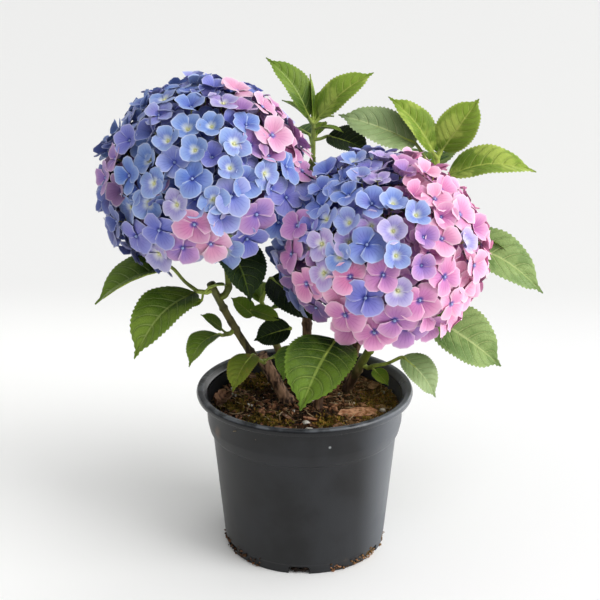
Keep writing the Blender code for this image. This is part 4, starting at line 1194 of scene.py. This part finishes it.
def makeTufts(paths):
    leafParts = {tint: [] for tint in leafTints}
    stems, thick = [], leafMake["twig"]
    for name, tuft in tufts.items():
        rng = random.Random(tuft["seed"])
        *aim, length = tuft["twig"]
        start, leaving = startOff(paths[tuft["bough"]], tuft["share"], direction(*aim))
        twig = branchPath(start, leaving, [knot(start + leaving * lead + direction(*aim) * length, thick)], 4)
        stems.append([knot(start - leaving * 0.0015, thick * 1.15), *twig[:-1],
                      knot(twig[-1].xyz, thick * 0.8)])
        solid = np.array([vert.co for vert in frame["nodes"][name].data.vertices])
        grown = tuft["leaves"] + pairRows(tuft, rng)
        for index, leaf in enumerate(grown + youngRows(grown, rng)):
            root, _, _ = pointOn(twig, min(leaf["at"], 0.96))
            *aim, length = leaf["stalk"]
            base = root + direction(*aim) * length
            apart = np.linalg.norm(solid - np.array(leafSpine(base, leaf, 1.0)), axis=1).min()
            if apart > leafMake["fit"]:
                continue        # the solid has no room for this leaf
            stems.append(stalkPath(root, base, leaf))
            leafParts[leaf["tint"]].append(leafPart(base, leaf, tuft["seed"] * 10 + index))
    green = stemMaterial("greenTwig", 0.0, green=(172, 190, 84))
    skin = makeStemSkin()
    finishPiece(runNodes("twigs", lineMesh("twigLines", stems), skin, green, Sides=9), "green_stem", *tufts)
    for tint, parts in leafParts.items():
        blades = newPiece("leaves_" + tint, joinParts("leaves_" + tint, parts), leafMaterial(tint))
        finishPiece(blades, "leaf")
        print("leaves", tint, len(parts), len(blades.data.polygons))
    return skin


# blooms

blooms = {
    "bloom_left": dict(
        bough="shoot_left", centre=(-0.088, 0.012, 0.346), wide=0.099, tall=0.094, lean=(-0.32, -0.10),
        # depth: painted shade that darkens the left bloom's petals
        reach=122, sizes=(0.0285, 0.0385), seed=11, depth=(0.82, 0.89, 0.88),
        paintedShade=[dict(turn=188, drop=72, reach=44, strength=1.0),
              dict(turn=215, drop=112, reach=30, strength=0.6)],
        pinkness=[dict(turn=342, drop=60, reach=32, strength=0.95),
                  dict(turn=266, drop=102, reach=16, strength=0.85),
                  dict(turn=208, drop=58, reach=18, strength=0.65),
                  dict(turn=232, drop=104, reach=24, strength=0.45),
                  dict(turn=300, drop=104, reach=14, strength=0.75),
                  dict(turn=90, drop=75, reach=38, strength=0.5)],
        leading=[
            (273, 70, 34, "blue", 2), (246, 93, 37, "blueViolet", 2), (266, 94, 37, "pink", 2),
            (270, 109, 37, "pinkPale", 3), (254, 107, 36, "mauve", 3), (228, 96, 36, "blueViolet", 3),
            (299, 102, 38, "mauve", 2), (289, 86, 37, "periwinkle", 2), (321, 103, 33, "blueViolet", 2),
            (327, 87, 34, "blue", 2), (330, 68, 38, "pinkPale", 1), (351, 36, 34, "pinkPale", 1),
            (346, 53, 31, "pinkPale", 1), (4, 90, 32, "pinkPale", 1), (343, 97, 32, "pinkMauve", 2),
            (261, 81, 29, "lilacEyed", 1), (280, 56, 30, "blueEyed", 0), (303, 61, 32, "blueEyed", 1),
            (319, 55, 29, "blue", 1), (297, 47, 29, "blueEyed", 0), (320, 37, 31, "lavender", 1),
            (294, 72, 28, "blueEyed", 0), (311, 83, 29, "blueEyed", 1), (280, 84, 29, "blueEyed", 1),
            (251, 67, 29, "blueEyed", 1), (264, 46, 30, "blueEyed", 0), (233, 61, 33, "blue", 1),
            (292, 29, 31, "blue", 0), (215, 52, 31, "mauve", 1), (204, 64, 31, "mauve", 1)]),
    "bloom_right": dict(
        bough="cane_right", centre=(0.067, -0.022, 0.290), wide=0.097, tall=0.093, lean=(0.14, -0.10),
        reach=124, sizes=(0.0285, 0.0385), seed=23, depth=(1, 1, 1),
        paintedShade=[dict(turn=200, drop=112, reach=24, strength=0.5)],
        pinkness=[dict(turn=318, drop=66, reach=46, strength=1.25),
                  dict(turn=262, drop=104, reach=30, strength=0.9),
                  dict(turn=214, drop=96, reach=22, strength=0.8),
                  dict(turn=350, drop=30, reach=30, strength=0.9),
                  dict(turn=276, drop=60, reach=20, strength=0.35),
                  dict(turn=80, drop=70, reach=50, strength=0.7),
                  dict(turn=345, drop=100, reach=40, strength=1.0)],
        leading=[
            (254, 66, 35, "blue", 3), (249, 110, 38, "pink", 3), (277, 107, 40, "pinkMauve", 3),
            (288, 93, 38, "pink", 2), (301, 80, 36, "pink", 2), (259, 95, 38, "blueViolet", 3),
            (249, 85, 34, "pink", 2), (266, 80, 34, "pinkMauve", 2), (207, 88, 35, "pinkMauve", 2),
            (223, 99, 36, "pink", 2), (228, 73, 31, "lilacEyed", 1), (300, 59, 36, "pinkPale", 1),
            (324, 48, 36, "pinkPale", 1), (326, 78, 34, "pinkPale", 1), (249, 43, 33, "blue", 1),
            (228, 43, 31, "blue", 1), (240, 57, 30, "blueEyed", 0), (224, 60, 29, "blueEyed", 1),
            (265, 41, 30, "blueEyed", 0), (283, 46, 30, "blueEyed", 0), (268, 56, 30, "lilacEyed", 0),
            (271, 69, 30, "blueEyed", 0), (241, 76, 30, "blueEyed", 1), (234, 88, 31, "lilacEyed", 2),
            (275, 88, 30, "lilacEyed", 1), (287, 58, 29, "mauve", 0), (286, 73, 29, "mauve", 0),
            (318, 63, 28, "lilacEyed", 0), (203, 72, 32, "mauve", 1), (305, 36, 31, "pinkPale", 1),
            (322, 18, 31, "pinkPale", 0), (310, 98, 33, "pinkPale", 2)]),
}
bloomMake = {"wallSkip": 0.010, "wallBend": 0.014, "primaries": 8, "secondaries": 26, "inset": 0.011,
             "underLayers": ((150, 0.011), (70, 0.027)), "underReach": 14, "tilt": 0.34, "upward": 0.12,
             "tries": 900, "spacings": (0.31, 0.255, 0.215)}
golden = math.pi * (3 - math.sqrt(5))      # the turn from one floret to the next
tones = {
    # how far the eye reaches up a petal, then the colours of petal, rim, eye, heart and veins, and the
    # petal's other hue
    "blue": (0.34, (92, 120, 200), (150, 170, 224), (70, 94, 184), (56, 70, 150), (60, 80, 168),
             (118, 124, 200)),
    "blueEyed": (0.50, (110, 138, 210), (160, 178, 226), (214, 222, 224), (206, 208, 158), (84, 104, 184),
                 (138, 142, 208)),
    "blueViolet": (0.34, (112, 116, 202), (156, 154, 220), (84, 92, 184), (56, 62, 148), (74, 80, 168),
                   (132, 124, 204)),
    "periwinkle": (0.40, (130, 142, 216), (176, 180, 230), (106, 120, 204), (74, 86, 174), (88, 98, 184),
                   (146, 138, 210)),
    "lavender": (0.46, (154, 138, 204), (192, 178, 222), (206, 204, 214), (198, 198, 150), (116, 100, 180),
                 (172, 138, 200)),
    "lilacEyed": (0.54, (158, 150, 212), (204, 194, 232), (226, 224, 230), (212, 214, 160), (122, 110, 192),
                  (178, 146, 206)),
    "mauve": (0.32, (174, 116, 182), (206, 156, 204), (136, 100, 180), (82, 72, 154), (136, 82, 156),
              (156, 122, 194)),
    "pinkMauve": (0.28, (194, 122, 180), (220, 162, 204), (148, 104, 178), (88, 76, 158), (152, 84, 150),
                  (178, 116, 180)),
    "pink": (0.26, (213, 127, 174), (234, 172, 205), (168, 108, 176), (96, 82, 164), (174, 84, 146),
             (200, 124, 182)),
    "pinkPale": (0.26, (229, 152, 187), (243, 192, 216), (208, 136, 186), (120, 104, 176), (196, 112, 164),
                 (222, 144, 190)),
    "shadeBlue": (0.30, (80, 94, 164), (112, 124, 186), (76, 90, 164), (56, 64, 132), (72, 82, 156),
                  (120, 110, 176)),
    "shadeMauve": (0.30, (124, 84, 134), (154, 114, 158), (112, 80, 140), (74, 56, 114), (110, 72, 126),
                   (122, 96, 156)),
    # darker copies of blue and mauve, as painted shade
    "duskBlue": (0.30, (78, 90, 160), (108, 118, 186), (60, 72, 142), (50, 56, 120), (60, 70, 134),
                 (98, 88, 150)),
    "duskMauve": (0.30, (122, 82, 134), (150, 110, 156), (98, 68, 124), (64, 50, 104), (94, 62, 112),
                  (104, 80, 140)),
}
toneSteps = [(0.16, ("blue", "blueEyed", "blueEyed", "blue", "periwinkle")),
             (0.34, ("periwinkle", "blueEyed", "blueViolet")),
             (0.50, ("lavender", "lilacEyed", "periwinkle")), (0.66, ("mauve", "lilacEyed", "lavender")),
             (0.84, ("pinkMauve", "pink", "mauve")), (9.0, ("pinkPale", "pink", "pinkPale"))]
eyedTones = ("blueEyed", "lilacEyed", "lavender")
pinkTones = ("mauve", "pinkMauve", "pink", "pinkPale", "shadeMauve", "duskMauve")
floretForms = [
    # rise of the petals, how they cup, how far their rims fall back, half of a petal's fan in degrees,
    # how far its sides draw in, how far its tip stands out, number of petals
    dict(rise=46, cup=0.74, fall=0.05, fan=56, drawn=0.42, tip=0.07, petals=4),
    dict(rise=32, cup=0.66, fall=0.09, fan=58, drawn=0.38, tip=0.05, petals=4),
    dict(rise=19, cup=0.54, fall=0.12, fan=60, drawn=0.34, tip=0.02, petals=4),
    dict(rise=10, cup=0.42, fall=0.16, fan=62, drawn=0.32, tip=0.0, petals=4),
    dict(rise=38, cup=0.60, fall=0.08, fan=46, drawn=0.40, tip=0.06, petals=5),
    dict(rise=60, cup=0.66, fall=0.03, fan=55, drawn=0.44, tip=0.09, petals=4),
    dict(rise=40, cup=0.80, fall=0.02, fan=57, drawn=0.36, tip=0.03, petals=4),
]


def floretMesh(form, seed, rows=3, columns=6):
    # a floret one unit across: broad cupped petals that fan out from their feet, two of them over the others
    rng = random.Random(seed)
    points, faces, places = [], [], []
    for petal in range(form["petals"]):
        heading = petal * 360 / form["petals"] + rng.uniform(-8, 8)
        rise = math.radians(form["rise"] + rng.uniform(-12, 12))
        size = 0.5 * rng.uniform(0.92, 1.10)
        twist, ripple, lopsided = rng.uniform(-0.20, 0.20), rng.uniform(0, 6.28), rng.uniform(-0.06, 0.06)
        upper = petal % 2 == 1
        base = len(points)
        for row in range(rows + 1):
            v = 0.05 + 0.95 * row / rows
            for column in range(columns + 1):
                u = column / columns * 2 - 1
                turn = u * math.radians(form["fan"])
                rim = size * (1 - form["drawn"] * abs(u) ** 2.4 + lopsided * u)
                rim *= 1 + form["tip"] * math.exp(-((u / 0.3) ** 2)) + 0.030 * math.sin(u * 7 + ripple)
                out, aside = v * rim * math.cos(turn), v * rim * math.sin(turn)
                height = out * math.sin(rise) * (1 - 0.30 * v)
                reach = out * math.cos(rise * (1 - 0.25 * v))
                height += form["cup"] * aside * aside / size * (1.3 - 0.6 * v) * (1 if upper else 0.5)
                height += ((0.030 if upper else -0.008) * min(1, v * 3) + twist * aside * v
                           - form["fall"] * size * v**4)
                height += 0.024 * v * v * math.sin(u * 4.5 + ripple * 2)
                spot = Vector((reach, aside * (1 - 0.08 * v), height))
                spot.rotate(Quaternion((0, 0, 1), math.radians(heading)))
                points.append(spot)
        for row in range(rows):
            for column in range(columns):
                a = base + row * (columns + 1) + column
                faces.append((a, a + columns + 1, a + columns + 2, a + 1))
                for i, j in ((0, 0), (0, 1), (1, 1), (1, 0)):
                    places.append(((column + i) / columns, (row + j) / rows))
    return joinParts("floret", [(points, faces, places)])


def budMesh():
    # the little bud in a floret's eye, on a floret one unit across
    shape = bmesh.new()
    bmesh.ops.create_uvsphere(shape, u_segments=8, v_segments=5, radius=0.036)
    bmesh.ops.translate(shape, verts=shape.verts, vec=(0, 0, 0.036))
    return shapeMesh("bud", shape)


def makeOnPoints():
    # a copy of the chosen shape on each point, facing its way, turned and sized by the point's own values
    tree, given, out = newGroup("growOnPoints", "Geometry", dict(Geometry=None, Shapes=None, Material=None),
                                ["Geometry"])
    outward = namedValue(tree, "facing", "FLOAT_VECTOR")
    facing = addNode(tree, "FunctionNodeAlignRotationToVector", {"Vector": outward}, axis="Z")[0]
    about = addNode(tree, "ShaderNodeCombineXYZ", {2: namedValue(tree, "spin")})[0]
    spin = addNode(tree, "FunctionNodeEulerToRotation", {0: about})[0]
    turned = addNode(tree, "FunctionNodeRotateRotation", {0: facing, 1: spin}, rotation_space="LOCAL")[0]
    placed = addNode(tree, "GeometryNodeInstanceOnPoints", {
        "Points": given["Geometry"], "Instance": pickShapes(given), "Pick Instance": True,
        "Instance Index": namedValue(tree, "form", "INT"), "Rotation": turned,
        "Scale": namedValue(tree, "size")})[0]
    return dressGeometry(placed, given, out)


def pointMesh(name, florets, oneForm=False):
    mesh = plainMesh(name, [floret["centre"] for floret in florets])
    facings = [part for floret in florets for part in floret["facing"]]
    mesh.attributes.new("facing", "FLOAT_VECTOR", "POINT").data.foreach_set("vector", facings)
    for label, kind in (("spin", "FLOAT"), ("size", "FLOAT"), ("form", "INT")):
        values = [0 if oneForm and label == "form" else floret[label] for floret in florets]
        mesh.attributes.new(label, kind, "POINT").data.foreach_set("value", values)
    return mesh


def petalMaterial(side, tone, depth):
    # depth is how much of the petals' red, green and blue is kept: painted shade that darkens a whole bloom
    reach, *colours = tones[tone]
    petal, rim, eye, heart, vein, other = (screenColour(*colour) for colour in colours)
    petal, rim, vein, other = ((*(part * share for part, share in zip(colour, depth)), 1)
                               for colour in (petal, rim, vein, other))
    pale = (*(part + (0.85 - part) * 0.45 for part in rim[:3]), 1)
    material, tree, shader = newMaterial(f"petal_{side}_{tone}", Roughness=0.55, Specular_IOR_Level=0.3,
                                         Sheen_Weight=0.2, Sheen_Roughness=0.4)
    marks = useGroup(tree, petalMarks, Reach=reach, Lines=7.0)
    drift = useGroup(tree, mottle, Scale=26.0, Detail=1.0, Low=0.36, High=0.64)
    behind = addNode(tree, "ShaderNodeNewGeometry")["Backfacing"]
    colour = mixColours(drift["Mask"], petal, other)
    # the back faces are lightened towards the rim colour as painted light, standing for light through the
    # petals
    for share, layer in ((marks["Rim"], rim), (times(marks["Lines"], 0.42), vein), (marks["Eye"], eye),
                         (marks["Heart"], heart), (times(behind, 0.55), rim),
                         (times(marks["Hem"], 0.7), pale)):
        colour = mixColours(share, colour, layer)
    fill(shader.inputs, {"Base Color": colour})
    addBump(shader, minus(1.0, marks["Lines"]), 0.25, 0.0004)
    return material


def bloomFrame(bloom):
    crown = Vector((*bloom["lean"], 1)).normalized()
    turn = Vector((0, 0, 1)).rotation_difference(crown).to_matrix().to_4x4()
    return Matrix.Translation(bloom["centre"]) @ turn


def domePoint(wide, tall, polar, around):
    level = wide * math.sin(polar)
    return Vector((level * math.cos(around), level * math.sin(around), tall * math.cos(polar)))


def dropAt(index, count, reach):
    # how far down the dome a point stands, when so many of them share it evenly
    return math.acos(1 - (index + 0.5) / count * (1 - math.cos(math.radians(reach))))


def shareAt(spots, polar, around):
    here = domePoint(1, 1, polar, around)
    share = 0
    for spot in spots:
        apart = math.degrees(here.angle(domePoint(1, 1, math.radians(spot["drop"]),
                                                  math.radians(spot["turn"])), 0))
        share += spot["strength"] * math.exp(-((apart / spot["reach"]) ** 2))
    return share


def pickTone(share, rng):
    for limit, names in toneSteps:
        if share < limit:
            return rng.choice(names)


def spotOn(bloom, wall, spots, rng, polar, around, size, form, tone, lift, sway=1.0):
    # adds a floret to the spots, unless it is past the wall between the two blooms
    wide, tall = bloom["wide"], bloom["tall"]
    toFrame = bloomFrame(bloom)
    local = domePoint(wide - bloomMake["inset"], tall - bloomMake["inset"], polar, around)
    outward = Vector((local.x / wide**2, local.y / wide**2, local.z / tall**2)).normalized()
    tilt = bloomMake["tilt"]
    leaning = Vector([rng.uniform(-tilt, tilt) * sway for _ in range(3)])
    tilted = outward + leaning + Vector((0, 0, bloomMake["upward"]))
    centre = toFrame @ (local + outward * lift)
    facing = toFrame.to_3x3() @ tilted.normalized()
    place, normal = wall
    over = (centre - place).dot(normal)
    if over > bloomMake["wallSkip"]:
        return
    if over > -bloomMake["wallBend"]:
        facing = (facing - normal * (0.7 * facing.dot(normal))).normalized()
    spots.append(dict(centre=centre, facing=facing, size=size, spin=rng.uniform(0, 6.28), form=form,
                      tone=tone))


def floretSpots(bloom, wall):
    # the leading florets as listed, then others wherever there is room for them
    rng = random.Random(bloom["seed"])
    small, large = bloom["sizes"]
    wide, tall = bloom["wide"] - bloomMake["inset"], bloom["tall"] - bloomMake["inset"]
    toFrame = bloomFrame(bloom)
    spots = []
    for turn, drop, width, tone, form in bloom["leading"]:
        spotOn(bloom, wall, spots, rng, math.radians(drop), math.radians(turn), width / 1000, form, tone,
               0.002, 0.5)
    for level, spacing in enumerate(bloomMake["spacings"]):
        for index in range(bloomMake["tries"]):
            polar = dropAt(index, bloomMake["tries"], bloom["reach"])
            around = index * golden + rng.uniform(-0.2, 0.2)
            down = min(math.degrees(polar) / bloom["reach"], 1)
            size = (small + (large - small) * down**1.8) * rng.uniform(0.90, 1.10)
            here = toFrame @ domePoint(wide, tall, polar, around)
            if any((here - other["centre"]).length < spacing * (size + other["size"]) for other in spots):
                continue
            pink = shareAt(bloom["pinkness"], polar, around) + rng.gauss(0, 0.10)
            tone = pickTone(pink, rng)
            # painted shade: florets on the side away from the light take the darker tones
            if rng.random() < shareAt(bloom["paintedShade"], polar, around):
                tone = "duskMauve" if pink > 0.4 else "duskBlue"
            form = rng.choice((0, 6, 5, 1, 4) if down < 0.5 else (0, 6, 1, 4) if down < 0.8 else (1, 1, 2))
            lift = rng.uniform(-0.005, 0.002) - 0.002 * level
            spotOn(bloom, wall, spots, rng, polar, around, size, form, tone, lift)
    return spots


def underSpots(bloom, wall):
    # darker florets deeper in the head, seen between the others
    rng = random.Random(bloom["seed"] + 1)
    spots = []
    for count, inset in bloomMake["underLayers"]:
        for index in range(count):
            polar = dropAt(index, count, bloom["reach"] - bloomMake["underReach"])
            around = index * golden + 1.2 + rng.uniform(-0.1, 0.1)
            share = shareAt(bloom["pinkness"], polar, around) + rng.gauss(0, 0.2)
            tone = "pinkMauve" if share > 0.8 else "shadeMauve" if share > 0.4 else "shadeBlue"
            size, form = rng.uniform(0.026, 0.033), rng.choice((0, 1))
            spotOn(bloom, wall, spots, rng, polar, around, size, form, tone, -inset)
    return spots


def innerPoints(bloom, count, share, turnBy):
    polars = [dropAt(index, count, bloom["reach"] - bloomMake["underReach"]) for index in range(count)]
    return [bloomFrame(bloom) @ domePoint(bloom["wide"] * share, bloom["tall"] * share, polar,
                                          index * golden + turnBy)
            for index, polar in enumerate(polars)]


def bloomStems(bloom, spots, path):
    # main stalk, then branches to inner points, then a fine stalk to each floret
    rng = random.Random(bloom["seed"] + 2)
    tip, radius = path[-1].xyz, path[-1].w
    onward = (path[-1].xyz - path[-2].xyz).normalized()
    heart = bloomFrame(bloom) @ Vector((0, 0, -bloom["tall"] * 0.34))
    primaries = innerPoints(bloom, bloomMake["primaries"], 0.34, 0.5)
    secondaries = innerPoints(bloom, bloomMake["secondaries"], 0.66, 0.1)
    lines = [smoothPath([knot(tip - onward * 0.002, radius), knot(tip + onward * 0.008, radius),
                         knot(heart, radius * 0.9)], 6)]
    for place in primaries:
        bend = heart.lerp(place, 0.5) + Vector((0, 0, -0.004))
        lines.append(smoothPath([knot(heart, 0.0021), knot(bend, 0.0018), knot(place, 0.0016)], 4))
    for place in secondaries:
        root = min(primaries, key=lambda spot: (spot - place).length)
        bend = root.lerp(place, 0.5) + Vector([rng.uniform(-0.002, 0.002) for _ in range(3)])
        lines.append(smoothPath([knot(root, 0.0013), knot(bend, 0.0011), knot(place, 0.0010)], 3))
    for spot in spots:
        root = min(secondaries, key=lambda other: (other - spot["centre"]).length)
        foot = spot["centre"] + spot["facing"] * (spot["size"] * 0.02)
        back = spot["centre"] - spot["facing"] * 0.006
        lines.append(smoothPath([knot(root, 0.0008), knot(root.lerp(back, 0.6), 0.0006), knot(back, 0.0006),
                                 knot(foot, 0.0008)], 2))
    return lines


def makeBlooms(paths, skin):
    left, right = (Vector(bloom["centre"]) for bloom in blooms.values())
    middle, across = (left + right) / 2, (right - left).normalized()
    walls = {"bloom_left": (middle, across), "bloom_right": (middle, -across)}
    onPoints = makeOnPoints()
    shapes = shapeCollection("floretForm", [floretMesh(form, seed) for seed, form in enumerate(floretForms)])
    buds = shapeCollection("budForm", [budMesh()])
    budTones = {"Blue": newMaterial("budBlue", Base_Color=screenColour(150, 168, 214), Roughness=0.5)[0],
                "Yellow": newMaterial("budYellow", Base_Color=screenColour(220, 220, 164), Roughness=0.5)[0]}
    stalkTone = stemMaterial("bloomStalk", 0.0, green=(158, 158, 96))
    for name, bloom in blooms.items():
        side = name.split("_")[1]
        florets = floretSpots(bloom, walls[name])
        everything = florets + underSpots(bloom, walls[name])
        for tone in tones:
            chosen = [floret for floret in everything if floret["tone"] == tone]
            if not chosen:
                continue
            made = runNodes(f"petals_{side}_{tone}", pointMesh("spots", chosen), onPoints,
                            petalMaterial(side, tone, bloom["depth"]), Shapes=shapes)
            finishPiece(made, "petal_pink" if tone in pinkTones else "petal_blue", name)
        for label, material in budTones.items():
            chosen = [floret for floret in florets if (floret["tone"] in eyedTones) == (label == "Yellow")]
            made = runNodes(f"buds{label}_{side}", pointMesh("spots", chosen, True), onPoints, material,
                            Shapes=buds)
            finishPiece(made, "petal_blue")
        stalks = lineMesh("stalkLines", bloomStems(bloom, everything, paths[bloom["bough"]]))
        finishPiece(runNodes(f"stalks_{side}", stalks, skin, stalkTone, Sides=5), "green_stem")
        print(name, len(florets), "florets")
    dropCollection(shapes)
    dropCollection(buds)


mottle = makeMottle()
leafVeins = makeLeafVeins()
petalMarks = makePetalMarks()
makeStage()
print("stage set")
makePot()
print("pot turned")
makeSoil()
print("potting mix laid")
canePaths = makeCanes()
print("canes grown")
stemSkin = makeTufts(canePaths)
print("leaves grown")
makeBlooms(canePaths, stemSkin)
print("blooms opened")
